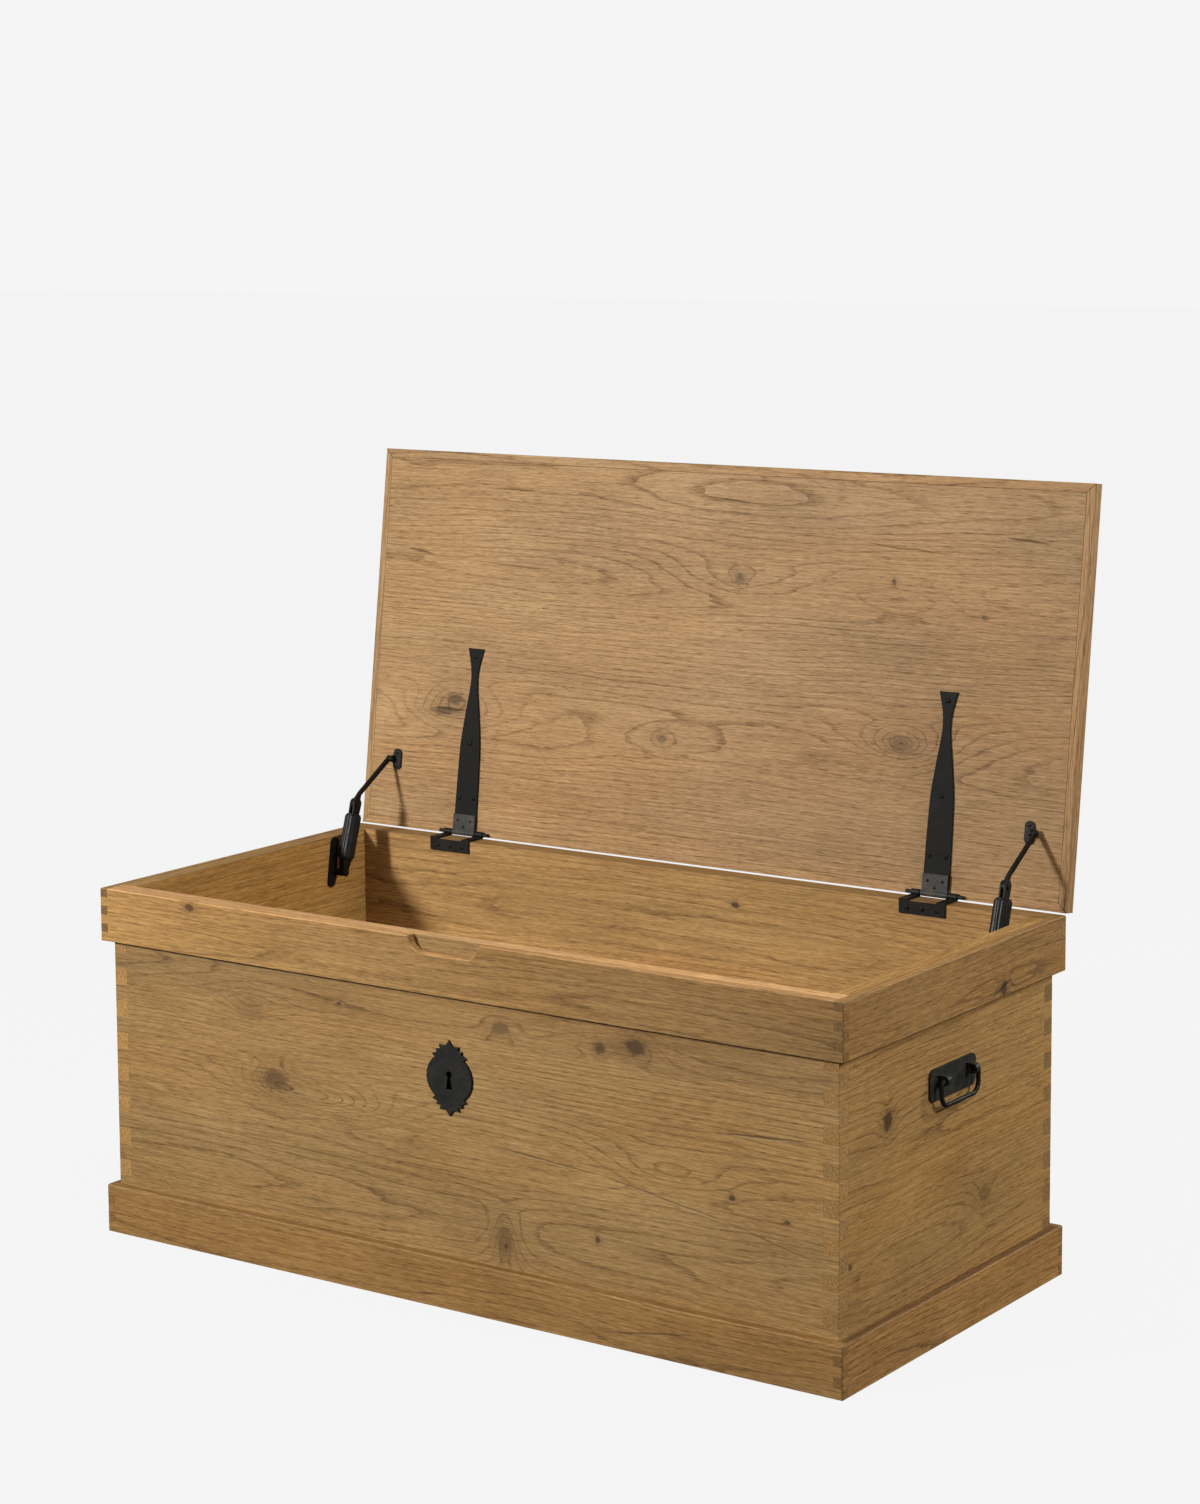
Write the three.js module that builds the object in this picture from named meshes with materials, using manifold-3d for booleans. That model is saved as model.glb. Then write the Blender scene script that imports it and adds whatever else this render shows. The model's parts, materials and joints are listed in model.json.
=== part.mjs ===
// A rustic oak blanket chest with its lid standing open.
//
// Six boards make the box: four finger-jointed sides, a bottom let into grooves, and a lid.
// A collar band wraps the top of the sides and a plinth band wraps the foot, both box-jointed.
// Two black iron strap hinges carry the lid, two folding stays with dampers hold it open,
// each end has a bail handle, and a keyhole escutcheon sits on the front.
//
// Millimetres, +Z up, front at -Y. The origin is under the middle of the bounding box of the
// chest with its lid open, on the floor; the box itself is centred on y = -REAR_SHIFT.

import * as THREE from 'three';
import { mergeVertices } from 'three/addons/utils/BufferGeometryUtils.js';
import Module from 'manifold-3d';

const wasm = await Module();
wasm.setup();

// ---- driving dimensions ----
const WIDTH = 1100; // outside the collar, left to right
const DEPTH = 528; // outside the collar, front to back
const HEIGHT = 450; // floor to rim
const REAR_SHIFT = 43; // half of how far the open lid reaches behind the box

const BOARD = 20; // thickness of the four side boards
const BAND = 12; // thickness of the collar and of the plinth
const COLLAR_HEIGHT = 68;
const PLINTH_HEIGHT = 62;
const FOOT_GAP = 12; // the side boards stop this far above the floor
const PANEL_FINGERS = 21;
const COLLAR_FINGERS = 6;
const PLINTH_FINGERS = 5;

const FLOOR_LOW = 26; // underside of the bottom board
const FLOOR_THICK = 12;
const GROOVE_DEPTH = 8;
const GAP = 0.3; // clearance between a piece and the cut that holds it

const PULL_WIDTH = 105; // finger pull at the rim
const PULL_FLOOR = 70; // its flat bottom
const PULL_DEPTH = 19;

const LID_WIDTH = 1098;
const LID_DEPTH = 524;
const LID_THICK = 19;
const LIPPING = 11.5;
const OPEN_ANGLE = THREE.MathUtils.degToRad(97.3);

const HINGE_X = 368; // each hinge's distance from the middle
const PIN_RADIUS = 2.5;
const PIN_PLAY = 0.1; // clearance round a hinge pin
const PIN_LENGTH = 82;
const KNUCKLE_RADIUS = 4;
const KNUCKLE_PLAY = 0.5; // clearance round a knuckle, in the hollow of the lid's back edge
const PIN_BEHIND_RIM = 1.2; // hinge axis, in front of the collar's back face
const PIN_ABOVE_RIM = 4.8;
const PIN_INSET = 3; // hinge axis to the lid's back edge, and to its underside
const LEAF_WIDTH = 65;
const LEAF_HEIGHT = 16;
const PLATE_THICK = 2.6;
const ARM_INSIDE = 20.4; // half the space between a leaf's two arms
const ROOT_WIDTH = 36;
const ROOT_LENGTH = 28;
const STRAP_LENGTH = 256; // lid's back edge to the strap's tip
const STRAP_THICK = 2.2;
const LEAF_SCREW_X = [-21, 0, 21];
const SCREW_LENGTH = 11;
const SCREW_SHANK = 1.5;
const SCREW_DOME = [[3.3, 0], [2.9, 0.9], [1.7, 1.5], [0, 1.7]]; // radius and height of its rings
const SCREW_LIFT = 0.1; // under the head, so that it stands clear of the plate
const PILOT_RADIUS = 1.8;
const STRAP_SCREWS = [
  { s: 245, x: 0 },
  { s: 126, x: 0 },
  { s: 51, x: -12 },
  { s: 51, x: 12 },
];

/** The strap's edge: distance from the lid's back edge, and half the strap's width there. */
const STRAP_OUTLINE = [
  [9, 18.6], [48, 18.2], [90, 17.4], [128, 16], [165, 11.5], [192, 7.4],
  [212, 5.4], [228, 6.4], [243, 9.6], [STRAP_LENGTH, 13],
];

// Lid stays. Each x is a distance from the chest's middle.
const STAY_AXIS_X = 503; // damper axis
const STAY_FOOT = { y: 166, z: 401 }; // lower pivot, on the end board
const STAY_KNEE = { y: 195, z: 492 }; // knee, with the lid open
const STAY_ON_LID = 93; // upper pivot, from the lid's back edge
const STAY_OFF_LID = 7; // and below its underside
const STAY_PLATE = { y: 161, z: 415, length: 69, width: 15, thick: 3, lean: THREE.MathUtils.degToRad(8.7) };
const STUD = { shank: 3, collar: 5, head: 5, headX: [496.6, 498.4], collarX: [507.6, 514.7] };
const FOOT_REACH = 21; // lower pivot to the sleeve
const HEAD_REACH = 17; // sleeve to the knee
const CHEEKS = [[498.8, 501], [505, 507.2]]; // the two plates of the damper's foot, and of its head
const FOOT_CHEEK = { low: 5.2, high: 8.6 }; // radii of a plate's two ends
const HEAD_CHEEK = { low: 7, eye: 7.8 };
const SLEEVE_RADIUS = 11.3;
const SLEEVE_RIBS = 12;
const RIB_DEPTH = 0.9;
const SLEEVE_BORE = 6.6;
const PLUG_RADIUS = 6.2;
const PLUG_LENGTH = 18; // how far the foot and the head reach into the sleeve
const FLANGE_RADIUS = 10;
const FLANGE = 2;
const PIVOT_PLAY = 0.2; // clearance round the stay's lower pivot
const KNEE_RIVET = { radius: 4, ends: [[497.4, 499], [507, 508.6]] };
const ARM = { x: [501.3, 504.7], half: 3.1, eye: 7.4, top: 4.6, bendReach: 15, bend: THREE.MathUtils.degToRad(22) };
const ARM_PIN = { radius: 2.4, x: [495, 504], collar: 3.6, collarX: [499.8, 501.5], headX: [504.5, 505.8] };
const BRACKET = { x: 492.5, width: 13, length: 29, thick: 2.5, earRadius: 4.9, earX: [496.1, 499.4] };

const HANDLE_AXIS_X = 550; // bail pivot
const HANDLE_AXIS_Z = 311;
const HANDLE_PLATE = { width: 108, height: 38, thick: 3, corner: 9, z: 306 };
const BAIL_HALF = 43; // middle of the chest's end to a bail leg
const BAIL_DROP = 28;
const BAIL_BEND = 5; // between a pin and a leg
const BAIL_CORNER = 13; // between a leg and the grip
const BAIL_RADIUS = 3.25;
const LUG_INSIDE = 29.5; // each handle lug, from the middle of the chest's end
const LUG_OUTSIDE = 38;
const LUG_RADIUS = 6;

const KEY_PLATE_Z = 281;
const KEY_PLATE_THICK = 2.5;
const KEY_OVAL = { x: 34, z: 31, until: 51 }; // half sizes, and the degrees where the leaves begin
const KEY_LEAVES = [[26, 27], [18.6, 30], [19.5, 34], [13.2, 34.5], [15, 39.5], [6.5, 39], [3.5, 41.5], [0, 46.5]];
const KEYHOLE = { radius: 4, headUp: 4.5, footDown: 14, footHalf: 4.5, depth: 1.7 };

// ---- places worked out from them ----
const HALF_W = WIDTH / 2;
const HALF_D = DEPTH / 2;
const SIDE_X = HALF_W - BAND; // outer face of an end board
const SIDE_Y = HALF_D - BAND; // outer face of the front and back boards
const INNER_X = SIDE_X - BOARD;
const INNER_Y = SIDE_Y - BOARD;
const PIVOT_Y = HALF_D - PIN_BEHIND_RIM;
const PIVOT_Z = HEIGHT + PIN_ABOVE_RIM;

// ---- materials ----
const finish = (color, roughness, metalness) => () =>
  new THREE.MeshStandardMaterial({ color, roughness, metalness });
const oak = finish(0xa87b4a, 0.62, 0);
const paleOak = finish(0xb98d5c, 0.65, 0);
const iron = finish(0x1f1f20, 0.55, 0.7);
const damperGrey = finish(0x2f3032, 0.5, 0.4);

// ---- solids ----

/** A closed BufferGeometry as a solid that can be joined and cut. */
function solid(geometry) {
  const bare = geometry.index ? geometry.toNonIndexed() : geometry.clone();
  bare.deleteAttribute('normal');
  bare.deleteAttribute('uv');
  const merged = mergeVertices(bare, 1e-5);
  const mesh = new wasm.Mesh({
    numProp: 3,
    vertProperties: new Float32Array(merged.attributes.position.array),
    triVerts: new Uint32Array(merged.index.array),
  });
  return new wasm.Manifold(mesh);
}

/** The BufferGeometry of a solid. */
function shell(body) {
  const mesh = body.getMesh();
  const geometry = new THREE.BufferGeometry();
  geometry.setAttribute('position', new THREE.BufferAttribute(mesh.vertProperties, 3));
  geometry.setIndex(new THREE.BufferAttribute(mesh.triVerts, 1));
  return geometry;
}

const TURNS = {
  x: new THREE.Matrix4().set(0, 0, 1, 0, 1, 0, 0, 0, 0, 1, 0, 0, 0, 0, 0, 1), // outline in (y, z)
  y: new THREE.Matrix4().set(1, 0, 0, 0, 0, 0, -1, 0, 0, 1, 0, 0, 0, 0, 0, 1), // outline in (x, z)
  z: new THREE.Matrix4(), // outline in (x, y)
};

/** An outline extruded along one axis, from one coordinate to another. */
function slab(outline, axis, from, to, curveSegments = 8) {
  const low = Math.min(from, to);
  const high = Math.max(from, to);
  const isShape = outline instanceof THREE.Shape;
  const shape = isShape ? outline : new THREE.Shape(outline.map(([a, b]) => new THREE.Vector2(a, b)));
  const geometry = new THREE.ExtrudeGeometry(shape, {
    depth: high - low,
    bevelEnabled: false,
    curveSegments,
  });
  geometry.translate(0, 0, axis === 'y' ? -high : low);
  return geometry.applyMatrix4(TURNS[axis]);
}

const rectangle = (a0, a1, b0, b1) => [[a0, b0], [a1, b0], [a1, b1], [a0, b1]];

/** A box between two opposite corners, given in any order. */
function block(xa, xb, ya, yb, za, zb) {
  const outline = rectangle(Math.min(xa, xb), Math.max(xa, xb), Math.min(ya, yb), Math.max(ya, yb));
  return slab(outline, 'z', za, zb);
}

/** A round bar along X, between two x values. */
function roundBar(radius, x0, x1, y, z, sides = 20) {
  const outline = new THREE.Shape().absarc(y, z, radius, 0, 2 * Math.PI);
  return slab(outline, 'x', x0, x1, sides / 2);
}

/** A slot-shaped outline between two points, each end rounded. */
function stadium(ax, ay, bx, by, radiusA, radiusB = radiusA) {
  const along = Math.atan2(by - ay, bx - ax);
  const shape = new THREE.Shape();
  shape.absarc(bx, by, radiusB, along - Math.PI / 2, along + Math.PI / 2);
  shape.absarc(ax, ay, radiusA, along + Math.PI / 2, along + (3 * Math.PI) / 2);
  return shape.closePath();
}

/** A rectangle with rounded corners, centred on a point. */
function roundedRectangle(ca, cb, width, height, radius) {
  const right = ca + width / 2 - radius;
  const left = ca - width / 2 + radius;
  const top = cb + height / 2 - radius;
  const bottom = cb - height / 2 + radius;
  const shape = new THREE.Shape();
  shape.absarc(right, bottom, radius, -Math.PI / 2, 0);
  shape.absarc(right, top, radius, 0, Math.PI / 2);
  shape.absarc(left, top, radius, Math.PI / 2, Math.PI);
  shape.absarc(left, bottom, radius, Math.PI, (3 * Math.PI) / 2);
  return shape.closePath();
}

/** A round rod along a curve, closed at both ends. */
function rod(curve, radius, steps, sides = 10) {
  const section = new THREE.Shape().absarc(0, 0, radius, 0, 2 * Math.PI);
  return new THREE.ExtrudeGeometry(section, { steps, extrudePath: curve, curveSegments: sides / 2 });
}

const joined = (...pieces) => pieces.reduce((whole, piece) => whole.add(piece));

const cut = (body, ...holes) => holes.reduce((whole, hole) => whole.subtract(hole), body);

function part(name, geometry, material, parent) {
  const mesh = new THREE.Mesh(geometry.isBufferGeometry ? geometry : shell(geometry), material());
  mesh.name = name;
  parent.add(mesh);
  return mesh;
}

// ---- box-jointed boards ----

/**
 * The outline of a board whose two ends are cut into fingers. A finger reaches `reach` from
 * the middle and a notch stops at `notch`. The fingers are counted from the top.
 */
function fingerBoard(reach, notch, low, high, count, topIsFinger) {
  const edge = [];
  for (let i = 0; i < count; i += 1) {
    const isFinger = (i % 2 === 0) === topIsFinger;
    const top = high - ((high - low) * i) / count;
    const bottom = high - ((high - low) * (i + 1)) / count;
    const out = isFinger ? reach : notch;
    edge.push([out, top], [out, bottom]);
  }
  const mirrored = edge.map(([out, z]) => [-out, z]).reverse();
  return [...edge, ...mirrored].reverse();
}

/** A screw standing on a face: dome head outside, plain shank inside. Its axis is +Z. */
function screwGeometry(length) {
  const profile = [[0, -length], [SCREW_SHANK, -length], [SCREW_SHANK, 0], ...SCREW_DOME];
  const geometry = new THREE.LatheGeometry(profile.map(([r, z]) => new THREE.Vector2(r, z)), 12);
  return geometry.applyMatrix4(TURNS.y);
}

/** The clear hole for a screw whose head stands at `head` on an axis along `axis`. */
function pilotHole(axis, a, b, head, inward) {
  const outline = new THREE.Shape().absarc(a, b, PILOT_RADIUS, 0, 2 * Math.PI);
  const bottom = head + inward * (SCREW_LENGTH + GAP);
  const mouth = head - inward * SCREW_SHANK;
  return solid(slab(outline, axis, mouth, bottom, 6));
}

// ---- carcass ----

const LEAF_LOW = HEIGHT - LEAF_HEIGHT;
const LEAF_SCREW_Z = LEAF_LOW + LEAF_HEIGHT / 2;
const LEAF_FACE = INNER_Y - PLATE_THICK;

function leafScrewHoles() {
  const holes = [];
  for (const hinge of [-HINGE_X, HINGE_X]) {
    for (const dx of LEAF_SCREW_X) {
      holes.push(pilotHole('y', hinge + dx, LEAF_SCREW_Z, LEAF_FACE, 1));
    }
  }
  return holes;
}

function carcass(parent) {
  const longBoard = fingerBoard(SIDE_X, INNER_X, FOOT_GAP, HEIGHT, PANEL_FINGERS, true);
  const endBoard = fingerBoard(SIDE_Y, INNER_Y, FOOT_GAP, HEIGHT, PANEL_FINGERS, false);
  const low = FLOOR_LOW - GAP;
  const high = FLOOR_LOW + FLOOR_THICK + GAP;
  const deep = GROOVE_DEPTH + GAP;

  for (const [name, side] of [['front_board', -1], ['back_board', 1]]) {
    const groove = block(-INNER_X, INNER_X, side * (INNER_Y - 2), side * (INNER_Y + deep), low, high);
    const holes = side > 0 ? leafScrewHoles() : [];
    const board = solid(slab(longBoard, 'y', side * INNER_Y, side * SIDE_Y));
    part(name, cut(board, solid(groove), ...holes), oak, parent);
  }
  for (const [name, side] of [['left_end_board', -1], ['right_end_board', 1]]) {
    const groove = block(side * (INNER_X - 2), side * (INNER_X + deep), -INNER_Y, INNER_Y, low, high);
    const board = solid(slab(endBoard, 'x', side * INNER_X, side * SIDE_X));
    part(name, cut(board, solid(groove)), oak, parent);
  }
  const tongueX = INNER_X + GROOVE_DEPTH;
  const tongueY = INNER_Y + GROOVE_DEPTH;
  const clearX = INNER_X - GAP;
  const clearY = INNER_Y - GAP;
  const corner = (sx, sy) => [[sx * tongueX, sy * clearY], [sx * clearX, sy * clearY], [sx * clearX, sy * tongueY]];
  const cross = [
    ...corner(1, 1),
    ...corner(-1, 1).reverse(),
    ...corner(-1, -1),
    ...corner(1, -1).reverse(),
  ];
  part('bottom_board', slab(cross, 'z', FLOOR_LOW, FLOOR_LOW + FLOOR_THICK), paleOak, parent);
}

/** The front collar's outline, with the finger pull scooped out of its top edge. */
function withPull(outline) {
  const half = PULL_WIDTH / 2;
  const flat = PULL_FLOOR / 2;
  const floor = HEIGHT - PULL_DEPTH;
  const curve = new THREE.Shape();
  curve.moveTo(half, HEIGHT);
  curve.bezierCurveTo(half - 2, floor + 7, flat + 5, floor, flat, floor);
  curve.lineTo(-flat, floor);
  curve.bezierCurveTo(-flat - 5, floor, -half + 2, floor + 7, -half, HEIGHT);
  const scoop = curve.getPoints(7).map((p) => [p.x, p.y]);
  // The outline runs anticlockwise; the scoop goes in where it crosses the top, right to left.
  const isTop = ([, z]) => z === HEIGHT;
  const rightTop = outline.findIndex((point) => isTop(point) && point[0] > 0);
  return [...outline.slice(0, rightTop + 1), ...scoop, ...outline.slice(rightTop + 1)];
}

function band(name, low, high, fingers, longBoardOnTop, parent) {
  const longBoard = fingerBoard(HALF_W, SIDE_X, low, high, fingers, longBoardOnTop);
  const endBoard = fingerBoard(HALF_D, SIDE_Y, low, high, fingers, !longBoardOnTop);
  const front = high === HEIGHT ? withPull(longBoard) : longBoard;
  part(`${name}_front`, slab(front, 'y', -SIDE_Y, -HALF_D), oak, parent);
  part(`${name}_back`, slab(longBoard, 'y', SIDE_Y, HALF_D), oak, parent);
  part(`${name}_left`, slab(endBoard, 'x', -SIDE_X, -HALF_W), oak, parent);
  part(`${name}_right`, slab(endBoard, 'x', SIDE_X, HALF_W), oak, parent);
}

// ---- lid, in its closed place with the hinge axis at the origin ----

const LID_BACK = PIN_INSET; // y of the lid's back edge
const LID_FRONT = LID_BACK - LID_DEPTH;
const LID_UNDER = PIN_INSET; // z of its underside
const LID_TOP = LID_UNDER + LID_THICK;
const STRAP_FACE = LID_UNDER - GAP - STRAP_THICK; // the strap's lower face

function strapScrewHoles() {
  const holes = [];
  for (const hinge of [-HINGE_X, HINGE_X]) {
    for (const { s, x } of STRAP_SCREWS) {
      holes.push(pilotHole('z', hinge + x, LID_BACK - s, STRAP_FACE, 1));
    }
  }
  return holes;
}

/** The hollow that the hinge knuckles turn in, along the lid's back edge. */
function knuckleHousing() {
  const half = LEAF_WIDTH / 2 + 1;
  return [-HINGE_X, HINGE_X].map((x) => solid(roundBar(KNUCKLE_RADIUS + KNUCKLE_PLAY, x - half, x + half, 0, 0)));
}

function lidBoards(lid) {
  const left = -LID_WIDTH / 2;
  const right = LID_WIDTH / 2;
  const inset = LIPPING;
  const seam = GAP;
  const panel = rectangle(
    left + inset + seam,
    right - inset - seam,
    LID_FRONT + inset + seam,
    LID_BACK - inset - seam,
  );
  const boards = {
    lid_board: panel,
    lid_lipping_front: [
      [left + seam, LID_FRONT], [right - seam, LID_FRONT],
      [right - inset - seam, LID_FRONT + inset], [left + inset + seam, LID_FRONT + inset],
    ],
    lid_lipping_back: [
      [left + inset + seam, LID_BACK - inset], [right - inset - seam, LID_BACK - inset],
      [right - seam, LID_BACK], [left + seam, LID_BACK],
    ],
    lid_lipping_left: [
      [left, LID_FRONT + seam], [left + inset, LID_FRONT + inset + seam],
      [left + inset, LID_BACK - inset - seam], [left, LID_BACK - seam],
    ],
    lid_lipping_right: [
      [right - inset, LID_FRONT + inset + seam], [right, LID_FRONT + seam],
      [right, LID_BACK - seam], [right - inset, LID_BACK - inset - seam],
    ],
  };
  const cuts = { lid_board: strapScrewHoles(), lid_lipping_back: knuckleHousing() };
  for (const [name, outline] of Object.entries(boards)) {
    const board = solid(slab(outline, 'z', LID_UNDER, LID_TOP));
    part(name, cut(board, ...(cuts[name] ?? [])), oak, lid);
  }
}

// ---- hinges ----

/** The fixed leaf: a plate inside the back board, two arms over the rim, two knuckles. */
function fixedLeaf(name, x, parent) {
  const half = LEAF_WIDTH / 2;
  const pieces = [solid(block(x - half, x + half, LEAF_FACE, INNER_Y, LEAF_LOW, HEIGHT))];
  for (const side of [-1, 1]) {
    const inner = x + side * ARM_INSIDE;
    const outer = x + side * half;
    const armTop = HEIGHT + PLATE_THICK;
    const arm = slab(rectangle(LEAF_FACE, PIVOT_Y, HEIGHT, armTop), 'x', inner, outer);
    const post = slab(rectangle(LEAF_FACE, INNER_Y, HEIGHT - 1, armTop), 'x', inner, outer);
    pieces.push(solid(arm), solid(post), solid(roundBar(KNUCKLE_RADIUS, inner, outer, PIVOT_Y, PIVOT_Z)));
  }
  const bore = solid(roundBar(PIN_RADIUS + PIN_PLAY, x - half - 1, x + half + 1, PIVOT_Y, PIVOT_Z));
  const screws = LEAF_SCREW_X.map((dx) => pilotHole('y', x + dx, LEAF_SCREW_Z, LEAF_FACE, 1));
  part(name, cut(joined(...pieces), bore, ...screws), iron, parent);
}

function leafScrews(name, x, parent) {
  LEAF_SCREW_X.forEach((dx, i) => {
    const screw = part(`${name}_${i + 1}`, screwGeometry(SCREW_LENGTH), iron, parent);
    screw.rotation.x = Math.PI / 2;
    screw.position.set(x + dx, LEAF_FACE - SCREW_LIFT, LEAF_SCREW_Z);
  });
}

function strapOutline(x) {
  const side = new THREE.SplineCurve(STRAP_OUTLINE.map(([s, half]) => new THREE.Vector2(half, LID_BACK - s)));
  const right = side.getPoints(22).map((p) => [x + p.x, p.y]);
  const left = side.getPoints(22).map((p) => [x - p.x, p.y]);
  return [...right, ...left.reverse()];
}

/** The hinge's turning leaf: one knuckle and the root plate that lies over the strap's tail. */
function movingLeaf(name, x, lid) {
  const half = ROOT_WIDTH / 2;
  const faceHigh = STRAP_FACE - GAP;
  const faceLow = faceHigh - PLATE_THICK;
  const plate = solid(block(x - half, x + half, LID_BACK - ROOT_LENGTH, 0, faceLow, faceHigh));
  const knuckle = solid(roundBar(KNUCKLE_RADIUS, x - half - 1, x + half + 1, 0, 0));
  const bore = solid(roundBar(PIN_RADIUS + PIN_PLAY, x - half - 2, x + half + 2, 0, 0));
  part(name, cut(joined(plate, knuckle), bore), iron, lid);
}

function strap(name, x, lid) {
  const body = solid(slab(strapOutline(x), 'z', STRAP_FACE, STRAP_FACE + STRAP_THICK));
  const screws = STRAP_SCREWS.map((at) => pilotHole('z', x + at.x, LID_BACK - at.s, STRAP_FACE, 1));
  part(name, cut(body, ...screws), iron, lid);
  STRAP_SCREWS.forEach((at, i) => {
    const screw = part(`${name}_screw_${i + 1}`, screwGeometry(SCREW_LENGTH), iron, lid);
    screw.rotation.x = Math.PI;
    screw.position.set(x + at.x, LID_BACK - at.s, STRAP_FACE - SCREW_LIFT);
  });
}

// ---- lid stays ----

/** A plate standing across X on one side of the chest, between two distances from the middle. */
function plateAcross(outline, side, [near, far]) {
  return solid(slab(outline, 'x', side * near, side * far));
}

/** A round pin along X on one side of the chest. */
function pinAcross(radius, side, [near, far], y, z) {
  return solid(roundBar(radius, side * near, side * far, y, z));
}

/** A round bar along a damper's own +Z, on its axis. */
function axialBar(radius, side, low, high) {
  const outline = new THREE.Shape().absarc(side * STAY_AXIS_X, 0, radius, 0, 2 * Math.PI);
  return solid(slab(outline, 'z', low, high, 10));
}

/** Cuts away everything of a damper's end piece between two heights on its axis. */
function axialTrim(side, low, high) {
  const reach = 2 * SLEEVE_RADIUS;
  const axis = side * STAY_AXIS_X;
  return solid(block(axis - reach, axis + reach, -reach, reach, low, high));
}

function stayBase(side, label, parent) {
  const { y, z, length, width, thick, lean } = STAY_PLATE;
  const reach = (length - width) / 2;
  const dy = reach * Math.sin(lean);
  const dz = reach * Math.cos(lean);
  const outline = stadium(y - dy, z - dz, y + dy, z + dz, width / 2);
  const plate = plateAcross(outline, side, [INNER_X - thick, INNER_X]);
  const hole = pinAcross(STUD.shank + PIVOT_PLAY, side, [INNER_X - thick - 1, INNER_X + 1], STAY_FOOT.y, STAY_FOOT.z);
  part(`stay_base_plate_${label}`, cut(plate, hole), iron, parent);
  const shank = pinAcross(STUD.shank, side, [STUD.headX[1] - 1, INNER_X - GAP], STAY_FOOT.y, STAY_FOOT.z);
  const collar = pinAcross(STUD.collar, side, STUD.collarX, STAY_FOOT.y, STAY_FOOT.z);
  const head = pinAcross(STUD.head, side, STUD.headX, STAY_FOOT.y, STAY_FOOT.z);
  part(`stay_pivot_stud_${label}`, joined(shank, collar, head), iron, parent);
}

/** The ribbed sleeve's outline: ribs and grooves by turns, round a clear bore. */
function sleeveOutline(axis) {
  const edge = [];
  for (let i = 0; i < 2 * SLEEVE_RIBS; i += 1) {
    const angle = (Math.PI * i) / SLEEVE_RIBS;
    const radius = i % 2 ? SLEEVE_RADIUS - RIB_DEPTH : SLEEVE_RADIUS;
    edge.push(new THREE.Vector2(axis + radius * Math.cos(angle), radius * Math.sin(angle)));
  }
  const outline = new THREE.Shape(edge);
  outline.holes.push(new THREE.Path().absarc(axis, 0, SLEEVE_BORE, 0, 2 * Math.PI, true));
  return outline;
}

/** The damper: foot, ribbed sleeve and head, standing on its lower pivot along +Z. */
function damper(side, label, parent) {
  const dy = STAY_KNEE.y - STAY_FOOT.y;
  const dz = STAY_KNEE.z - STAY_FOOT.z;
  const length = Math.hypot(dy, dz);
  const top = length - HEAD_REACH;
  const group = new THREE.Group();
  group.position.set(0, STAY_FOOT.y, STAY_FOOT.z);
  group.rotation.x = -Math.atan2(dy, dz);
  parent.add(group);

  const footOutline = stadium(0, 0, 0, FOOT_REACH - FLANGE, FOOT_CHEEK.low, FOOT_CHEEK.high);
  const footCheeks = CHEEKS.map((x) => plateAcross(footOutline, side, x));
  const footFlange = axialBar(FLANGE_RADIUS, side, FOOT_REACH - FLANGE - GAP, FOOT_REACH - GAP);
  const footPlug = axialBar(PLUG_RADIUS, side, FOOT_REACH - 1, FOOT_REACH + PLUG_LENGTH);
  const footEye = pinAcross(STUD.shank + PIVOT_PLAY, side, [CHEEKS[0][0] - 1, CHEEKS[1][1] + 1], 0, 0);
  const foot = cut(joined(...footCheeks), axialTrim(side, FOOT_REACH - 1, length), footEye);
  part(`stay_damper_foot_${label}`, joined(foot, footFlange, footPlug), iron, group);

  const sleeve = slab(sleeveOutline(side * STAY_AXIS_X), 'z', FOOT_REACH, top, 10);
  part(`stay_damper_sleeve_${label}`, sleeve, damperGrey, group);

  const headOutline = stadium(0, top + 3, 0, length, HEAD_CHEEK.low, HEAD_CHEEK.eye);
  const headCheeks = CHEEKS.map((x) => plateAcross(headOutline, side, x));
  const rivets = KNEE_RIVET.ends.map((x) => pinAcross(KNEE_RIVET.radius, side, x, 0, length));
  const headFlange = axialBar(FLANGE_RADIUS, side, top + GAP, top + GAP + FLANGE);
  const headPlug = axialBar(PLUG_RADIUS, side, top - PLUG_LENGTH, top + 1);
  const head = cut(joined(...headCheeks), axialTrim(side, 0, top + 1));
  part(`stay_damper_head_${label}`, joined(head, ...rivets, headFlange, headPlug), iron, group);
}

/** Where the stay's upper pivot stands, in the lid's own closed place. */
const STAY_TOP = { y: LID_BACK - STAY_ON_LID, z: LID_UNDER - STAY_OFF_LID };

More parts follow.
